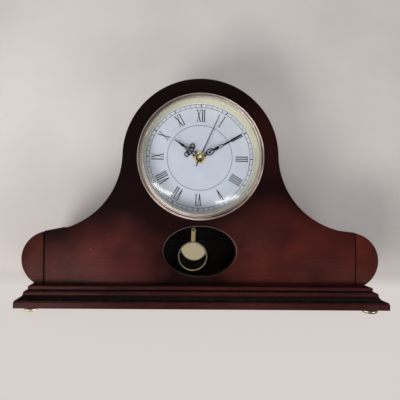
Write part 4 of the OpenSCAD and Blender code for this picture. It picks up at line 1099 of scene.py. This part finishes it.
@dataclass(frozen=True)
class BrassBezel(SubAssembly):
    """Bezel with a rolled rim, a polished shoulder and a milled ring, with its domed glass.

    Its sizes but the centre are in millimetres, with heights measured to the front from the centre.
    """

    nodes: tuple[str, ...] = ("reflector_ring",)
    rim_r: float = 75.8
    lip_r: float = 68.1
    height: float = 8.8
    glass_a: float = 7.2
    seat_r: float = 69.95
    skirt_in_r: float = 70.6
    skirt_out_r: float = 71.7
    back_a: float = -9.0
    rim_roll: float = 0.9
    rim_mid: float = 1.5
    shoulder_roll: float = 3.5
    crest_roll: float = 1.75
    lip_roll: float = 0.7
    teeth: int = 156
    tooth_depth: float = 0.4
    tooth_steps: int = 6
    glass_rise: float = 9.0
    glass_t: float = 1.8
    glass_gap: float = 0.5
    glass_steps: int = 240
    flange_t: float = 1.9
    flange_gap: float = 0.05
    centre: Spot = (0.0, -0.035, 0.1815)

    def section(self) -> tuple[np.ndarray, tuple[float, float]]:
        """Closed section of the bezel, and the share of its length that is milled.

        It is a chain of arcs: a rolled rim, a fine line, a round shoulder, a groove and a rolled crest that
        carries the milling, then the seat of the glass and the skirt in straight lines.

        Returns:
            Rows of radius and height, and where the milling starts and ends from 0 to 1.
        """
        rim = arc((self.rim_r - self.rim_roll, self.rim_mid), self.rim_roll, 0, 180, 11)
        shoulder = arc((self.rim_r - 5.6, 1.6), self.shoulder_roll, 2, 62, 11) * [1, 1.45] - [0, 0.72]
        groove = np.array([[self.rim_r - 4.35, 6.15], [self.rim_r - 4.75, 6.05]])
        crest = arc((self.lip_r + 1.35, self.height - self.crest_roll), self.crest_roll, 20, 90, 9)
        inner = arc((self.lip_r + self.lip_roll, self.height - self.lip_roll), self.lip_roll, 100, 180, 7)
        seat = np.array([
            [self.lip_r, self.glass_a], [self.seat_r, self.glass_a], [self.seat_r, self.glass_a - 3],
            [self.skirt_in_r, self.glass_a - 4.5], [self.skirt_in_r, self.back_a],
            [self.skirt_out_r, self.back_a], [self.skirt_out_r, 0.0], [self.rim_r, 0.0],
        ])
        loop = np.concatenate([rim, shoulder, groove, crest, inner, seat])
        start = len(rim) + len(shoulder) + len(groove)
        return loop, (start / len(loop), (start + len(crest) - 1) / len(loop))

    def glass_section(self) -> np.ndarray:
        """Closed section of the glass: two parallel arcs that end in a flat flange under the lip.

        The outer radius is (edge radius squared + rise squared) / (2 rise).

        Returns:
            Rows of radius and height.
        """
        edge_r = self.lip_r - self.glass_gap
        outer = (edge_r ** 2 + self.glass_rise ** 2) / (2 * self.glass_rise)
        middle = (0.0, self.glass_a + self.glass_rise - outer)
        steep = math.degrees(math.asin(edge_r / outer))
        hollow = arc(middle, outer - self.glass_t, 90.0, 90.0 - steep, 40)
        flange_r, low = self.seat_r - self.flange_gap, self.glass_a - self.flange_t
        flange = np.array([[edge_r + 0.1, low], [flange_r, low], [flange_r, self.glass_a],
                           [edge_r + 0.2, self.glass_a]])
        return np.concatenate([hollow, flange, arc(middle, outer, 90.0 - steep, 90.0, 48)])

    def build(self, shop: FinishShop) -> list[bpy.types.Object]:
        """Builds the bezel and the glass; see the base class for the arguments."""
        super().build(shop)
        loop, (start, stop) = self.section()

        def milling(place: np.ndarray, angle: np.ndarray) -> np.ndarray:
            """Depth times a wave round the ring, faded in and out across the crest by half a sine."""
            across = np.clip((place - start) / (stop - start), 0.0, 1.0)
            return self.tooth_depth * MM * (np.cos(self.teeth * angle) - 1) / 2 * np.sin(np.pi * across) ** 0.7

        steps = self.teeth * self.tooth_steps
        bezel = new_piece("bezel_milled", turned(loop * MM, self.centre, steps, milling), 35.0)
        glass = new_piece("glass_blown", turned(self.glass_section() * MM, self.centre, self.glass_steps))
        return [shop.stand_in(bezel, "case", "bezel"), shop.stand_in(glass, "case", "bezel_glass")]


@dataclass(frozen=True)
class Dial(SubAssembly):
    """Dial plate, print, pan and the hands with their nut and cap."""

    nodes: tuple[str, ...] = ("dial_plate", "dial_print", "dial_pan", "pan_screws", "second_hand",
                              "second_hand_cap", "shaft_nut", "rubber_washer", "hour_hand", "minute_hand")


@dataclass(frozen=True)
class Movement(SubAssembly):
    """Quartz movement with its train, motor, board and cell."""

    nodes: tuple[str, ...] = (
        "movement_base", "movement_cover", "train_plate", "circuit_board", "quartz_crystal", "motor_coil",
        "stator", "rotor", "intermediate_wheel", "seconds_wheel", "third_wheel", "centre_wheel", "minute_tube",
        "minute_wheel", "hour_wheel", "setting_knob", "battery", "battery_contacts")


@dataclass(frozen=True)
class Pendulum(SubAssembly):
    """Drive, lever, rod and bob."""

    nodes: tuple[str, ...] = ("pendulum_housing", "pendulum_coil", "pendulum_lever", "pendulum_magnet",
                              "pendulum_rod")
    bead: float = 0.0009
    rise: float = 0.0020
    steps: int = 160

    def build(self, shop: FinishShop) -> list[bpy.types.Object]:
        """Builds the bob as a domed disc inside a rolled rim; see the base class for the arguments.

        The face is a parabola, height = rise times (1 - (r / face radius) squared), over the rim's middle.
        """
        super().build(shop)
        low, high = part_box("pendulum_bob")
        middle = ((low.x + high.x) / 2, high.y, (low.z + high.z) / 2)
        radius = (high.x - low.x) / 2
        face_r = radius - 2 * self.bead
        face = np.linspace(face_r, 0.0, 28)
        edge = high.y - low.y - self.rise
        dome = np.column_stack([face, edge + self.rise * (1 - (face / face_r) ** 2)])
        dome[0, 1] = min(dome[0, 1], 1.3 * self.bead)
        back = np.array([[0.0, 0.0], [face_r * 0.5, 0.0], [face_r, 0.0]])
        rim = arc((radius - self.bead, self.bead), self.bead, -90, 200, 19)
        bob = new_piece("pendulum_bob_domed", turned(np.concatenate([back, rim, dome]), middle, self.steps))
        return [shop.stand_in(bob, "pendulum", "pendulum_bob")]


@dataclass(frozen=True)
class BackDoor(SubAssembly):
    """Door in the back with its hinges, knob and catch."""

    nodes: tuple[str, ...] = ("case_hinge_leaves", "door_hinge_leaves", "hinge_pins", "door_knob",
                              "catch_magnet", "strike_plate")
    eased: float = 0.0006

    def build(self, shop: FinishShop) -> list[bpy.types.Object]:
        """Eases the edges of the door; see the base class for the arguments."""
        super().build(shop)
        return [shop.stand_in(eased_copy("back_door", "back_door_eased", self.eased), "door", "back_door")]


# Studio


@dataclass(frozen=True)
class SoftLamp:
    """A rectangular lamp aimed at a point."""

    name: str
    place: Spot
    aim: Spot
    size: tuple[float, float]
    watts: float
    colour: Spot = (1.0, 1.0, 1.0)
    roll: float = 0.0
    matt: bool = True
    mirrored: bool = False
    oval: bool = False
    through_floor: bool = False
    lights_only: tuple[str, ...] = ()

    @classmethod
    def strip(cls, name: str, start: Spot, stop: Spot, aim: Spot, watts: float, width: float = 0.008,
              lights_only: tuple[str, ...] = ("glass_blown",)) -> "SoftLamp":
        """Thin lamp between two points that lie at the same Y, seen only as a reflection.

        Args:
            name: Name of the lamp.
            start: Left end.
            stop: Right end.
            aim: Point that it faces.
            watts: Power.
            width: Width of the strip.
            lights_only: Objects that it lights.

        Returns:
            The lamp.
        """
        across, rise = stop[0] - start[0], stop[2] - start[2]
        middle = tuple((one + two) / 2 for one, two in zip(start, stop))
        return cls(name, middle, aim, (math.hypot(across, rise), width), watts, roll=math.atan2(rise, across),
                   matt=False, mirrored=True, lights_only=lights_only)

    def collect(self, use: str, names: Sequence[str]) -> bpy.types.Collection:
        """Puts objects into a collection for light linking.

        Args:
            use: What the collection is for.
            names: Names of the objects.

        Returns:
            The collection.
        """
        group = bpy.data.collections.new(f"{self.name}_{use}")
        for name in names:
            group.objects.link(bpy.data.objects[name])
        return group

    def hang(self, clock: Sequence[str]) -> None:
        """Adds the lamp to the scene.

        Args:
            clock: Names of the pieces of the clock, which alone cast its shadows if it shines through the
                floor.
        """
        data = bpy.data.lights.new(self.name, "AREA")
        data.shape = "ELLIPSE" if self.oval else "RECTANGLE"
        data.size, data.size_y = self.size
        data.energy = self.watts
        data.color = self.colour
        lamp = bpy.data.objects.new(self.name, data)
        lamp.location = self.place
        facing = (Vector(self.aim) - Vector(self.place)).to_track_quat("-Z", "Y").to_matrix()
        lamp.rotation_euler = (facing @ Matrix.Rotation(self.roll, 3, "Z")).to_euler()
        lamp.visible_camera = False
        lamp.visible_diffuse = self.matt
        lamp.visible_glossy = lamp.visible_transmission = self.mirrored
        bpy.context.scene.collection.objects.link(lamp)
        if self.lights_only:
            lamp.light_linking.receiver_collection = self.collect("lights", self.lights_only)
        if self.through_floor:
            lamp.light_linking.blocker_collection = self.collect("shadows", clock)


@dataclass(frozen=True)
class Studio:
    """Pale floor that runs up into a backdrop, soft lamps, the sky and the camera."""

    wall_y: float = 0.085
    bend: float = 0.026
    half_width: float = 2.2
    front_y: float = -2.4
    wall_top: float = 1.8
    # The sheet is painted darker low down and lighter up the wall: painted shade and painted light
    paper: Colour = tone(202, 195, 192)
    paper_painted_light_top: Colour = tone(230, 223, 220)
    paper_mottle: Colour = tone(196, 189, 187)
    paper_lit: Colour = tone(232, 225, 220)
    # Painted reflections: the sheet's colour as glossy rays see it, with painted glints for the feet
    mirrored_paper: Colour = tone(18, 16, 15)
    mirrored_ends: Colour = tone(206, 196, 190)
    foot_glint: Colour = (2.6, 2.5, 2.2, 1.0)
    glints: tuple[Spot, ...] = ((-0.207, -0.0595, 0.0), (-0.183, -0.0536, 0.0),
                                (0.1815, -0.051, 0.0), (0.2029, -0.0644, 0.0))
    room: Colour = (0.12, 0.12, 0.125, 1.0)
    mirrored_room: Colour = (0.04, 0.04, 0.044, 1.0)
    bright_side: Colour = (0.50, 0.45, 0.46, 1.0)
    ceiling: Colour = (0.38, 0.37, 0.36, 1.0)
    horizon: Colour = tone(214, 207, 204)
    camera_at: Spot = (-0.046, -0.435, 0.1196)
    camera_roll: float = -0.00646
    lens: float = 30.24
    shift: tuple[float, float] = (0.0963, 0.0213)

    def backdrop(self) -> None:
        """Builds the floor and backdrop as one sheet with a round bend."""
        bend_y, turn = self.wall_y - self.bend, np.linspace(-np.pi / 2, 0, 16)
        bend = np.column_stack([bend_y + self.bend * np.cos(turn), self.bend + self.bend * np.sin(turn)])
        floor = np.column_stack([np.linspace(self.front_y, bend_y, 12)[:-1], np.zeros(11)])
        wall = np.array([[self.wall_y, self.wall_top / 2], [self.wall_y, self.wall_top]])
        section = np.concatenate([floor, bend, wall])
        sheet = new_piece(SHEET, swept(section, (-self.half_width, self.half_width)), 60.0, closed=False)
        sheet.data.materials.append(self.paper_material())

    def mirrored_floor(self, bench: MaterialBench) -> Signal:
        """Painted reflections: the sheet's colour as glossy rays see it, dark, with paler ends and painted glints
        by the front feet.

        Args:
            bench: Bench of the material.

        Returns:
            The colour.
        """
        x, y, height = (bench.axis(bench.place, label) for label in "XYZ")
        ends = bench.span(x, -0.2, -0.1, 1.0, 0.0).most(bench.span(x, 0.15, 0.25, 0.0, 0.5))
        near = bench.span(y, -0.32, -0.2) * bench.span(height, 0.004, 0.01, 1.0, 0.0)
        colour = bench.blend(ends * near, self.mirrored_paper, self.mirrored_ends)
        for glint in self.glints:
            spot = bench.span(bench.distance(bench.place, glint), 0.004, 0.009, 1.0, 0.0)
            colour = bench.blend(spot, colour, self.foot_glint)
        return colour

    def paper_material(self) -> bpy.types.Material:
        """Matt paper that is clear from behind, so that views from the back see the clock, painted darker low down
        and lighter up the wall as painted shade and light.

        Returns:
            The material.
        """
        bench = MaterialBench("sweep_paper")
        rays = bench.outputs("ShaderNodeLightPath")
        height = bench.axis(bench.place, "Z")
        mottle = bench.span(bench.noise(bench.place, 9.0, 3.0), 0.3, 0.7)
        # Painted shade low down, painted light up the wall
        colour = bench.blend(bench.span(height, 0.04, 0.27), self.paper, self.paper_painted_light_top)
        colour = bench.blend(mottle * 0.3, colour, self.paper_mottle)
        sheet = bench.result(bench.add("ShaderNodeBsdfDiffuse"), "BSDF", Color=colour)
        lit = rays["Is Camera Ray"] * bench.span(height, 0.0, self.bend, 0.8, 0.1)
        sheet = bench.mix(lit, sheet, bench.glow(self.paper_lit))
        sheet = bench.mix(rays["Is Glossy Ray"], sheet, bench.glow(self.mirrored_floor(bench)))
        clear = bench.result(bench.add("ShaderNodeBsdfTransparent"), "BSDF")
        return bench.done(bench.mix(bench.outputs("ShaderNodeNewGeometry")["Backfacing"], sheet, clear))

    def sky(self) -> None:
        """Lights the scene all round: a dim room with a bright side at the left and a paler ceiling."""
        world = bpy.data.worlds.new("soft_room")
        bpy.context.scene.world = world
        world.use_nodes = True
        world.node_tree.nodes.clear()
        bench = Bench(world.node_tree)
        direction = bench.outputs("ShaderNodeTexCoord")["Generated"]
        x, height = bench.axis(direction, "X"), bench.axis(direction, "Z")
        left = bench.span(x, -0.9, -0.5, 1.0, 0.0) * bench.span(height, 0.12, 0.42, 1.0, 0.0)
        above = bench.span(height, 0.5, 0.9) * bench.span(x, -0.35, 0.05)
        mirrored = bench.blend(left, self.mirrored_room, self.bright_side)
        mirrored = bench.blend(above, mirrored, self.ceiling)
        rays = bench.outputs("ShaderNodeLightPath")
        colour = bench.blend(rays["Is Glossy Ray"], self.room, mirrored)
        colour = bench.blend(rays["Is Camera Ray"], colour, self.horizon)
        light = bench.result(bench.add("ShaderNodeBackground"), "Background", Color=colour)
        bench.wire(bench.add("ShaderNodeOutputWorld"), Surface=light)

    def lamps(self) -> None:
        """Hangs two keys from below, fills, and the cards and strips that only some pieces reflect."""
        clock = [piece.name for piece in bpy.data.objects if piece.type == "MESH" and piece.name != SHEET]
        polished = ("glass_blown", "window_pane", "bezel_milled", "pendulum_bob_domed", "second_hand_cap",
                    "shaft_nut")
        matt = tuple(name for name in clock if name not in polished)
        wood = ("front_panel_eased", "left_end_block_eased", "right_end_block_eased", "ledge_board",
                "cove_moulding", "plinth_board")
        feet = tuple(name for name in clock if name.startswith("foot_"))
        key = partial(SoftLamp, aim=(-0.02, 0.0, 0.11), size=(0.5, 0.4), colour=(1.0, 0.985, 0.97),
                      through_floor=True, lights_only=(*matt, SHEET))
        fill = partial(SoftLamp, size=(0.8, 0.6), colour=(1.0, 0.99, 0.97), through_floor=True, lights_only=matt)
        card = partial(SoftLamp, matt=False, mirrored=True)
        bezel = partial(card, aim=(0.0, -0.04, 0.18), through_floor=True, lights_only=("bezel_milled",))
        foot = partial(card, size=(0.25, 0.12), watts=0.2, through_floor=True, lights_only=feet)
        left, right = (-0.046, -0.044, 0.141), (0.031, -0.045, 0.132)
        for lamp in (
            key("key_left", (-0.58, -0.78, -0.42), watts=8.9),
            key("key_right", (0.42, -0.8, -0.55), watts=2.6),
            SoftLamp("front_fill", (-0.1, -1.3, 0.30), (0.0, 0.0, 0.12), (0.9, 0.6), 4.8, (0.96, 0.98, 1.0),
                     lights_only=(*matt, SHEET)),
            fill("back_fill", (0.35, 0.9, 0.55), (0.0, 0.04, 0.12), watts=5.0),
            fill("top_fill", (-0.30, 0.75, 1.0), (0.0, 0.02, 0.15), watts=4.5),
            card("left_haze", (-0.36, -0.6, -0.02), (-0.15, -0.035, 0.05), (0.3, 0.3), 0.2, (1.0, 0.94, 0.94),
                 through_floor=True, lights_only=wood),
            bezel("bezel_low_card", (-0.2, -0.4, -0.30), size=(0.8, 0.5), watts=1.5, colour=(0.94, 0.90, 1.04)),
            bezel("bezel_high_card", (0.40, -0.5, 0.56), size=(0.3, 0.5), watts=1.05, colour=(1.0, 0.98, 0.99)),
            bezel("bezel_front_card", (0.0, -0.6, 0.2), size=(1.1, 0.9), watts=1.1, colour=(1.0, 0.97, 0.95)),
            card("bezel_right_card", (0.38, -0.20, 0.03), (0.05, -0.04, 0.14), (0.1, 0.3), 0.25,
                 (1.0, 0.95, 0.94), lights_only=("bezel_milled",)),
            card("cap_card", (0.02, -0.5, 0.27), (0.0, -0.04, 0.18), (0.35, 0.3), 4.2, (1.0, 0.98, 0.92),
                 lights_only=("second_hand_cap", "shaft_nut")),
            card("bob_card", (0.025, -0.2, 0.11), (0.025, -0.02, 0.11), (0.224, 0.21), 0.165, (1.0, 0.99, 0.96),
                 oval=True, lights_only=("pendulum_bob_domed", "window_pane")),
            foot("left_feet_card", (-0.39, -0.55, -0.15), (-0.197, -0.05, 0.003)),
            foot("right_feet_card", (0.51, -0.55, -0.15), (0.197, -0.05, 0.003)),
            SoftLamp.strip("left_streak_rise", (-0.189, -0.3, 0.103), (-0.152, -0.3, 0.073), left, 0.0190),
            SoftLamp.strip("left_streak_run", (-0.152, -0.3, 0.073), (-0.096, -0.3, 0.047), left, 0.0245),
            SoftLamp.strip("right_streak_run", (0.100, -0.3, 0.012), (0.155, -0.3, 0.023), right, 0.0190),
            SoftLamp.strip("right_streak_rise", (0.155, -0.3, 0.023), (0.215, -0.3, 0.043), right, 0.0215),
        ):
            lamp.hang(clock)

    def camera(self) -> None:
        """Sets the camera where the photograph was taken from."""
        data = bpy.data.cameras.new("photo_view")
        data.sensor_width = 36.0
        data.lens = self.lens
        data.shift_x, data.shift_y = self.shift
        data.clip_start, data.clip_end = 0.01, 20.0
        camera = bpy.data.objects.new("photo_view", data)
        camera.location = self.camera_at
        camera.rotation_euler = Euler((math.pi / 2, self.camera_roll, 0.0))
        bpy.context.scene.collection.objects.link(camera)
        bpy.context.scene.camera = camera

    def build(self) -> None:
        """Builds the whole studio but its lamps and sets how colours are shown."""
        self.camera()
        self.backdrop()
        self.sky()
        bpy.context.scene.view_settings.view_transform = "Standard"


def main() -> None:
    """Builds every part of the clock in order and reports each piece."""
    logging.basicConfig(level=logging.INFO, format="%(message)s")
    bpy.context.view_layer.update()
    studio = Studio()
    studio.build()
    shop = FinishShop()
    parts = (WoodenCase(), MouldedBase(), BrassBezel(), Dial(), Movement(), Pendulum(), BackDoor())
    for part in parts:
        pieces = part.build(shop)
        LOG.info("%s: %d nodes dressed", type(part).__name__, len(part.nodes))
        for piece in pieces:
            LOG.info("  new piece %s with %d faces", piece.name, len(piece.data.polygons))
    dressed = {node for part in parts for node in part.nodes}
    bare = [node for node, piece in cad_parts.items() if node not in dressed and not piece.hide_render]
    LOG.info("nodes left bare: %s", sorted(bare))
    studio.lamps()


if __name__ == "__main__":
    main()
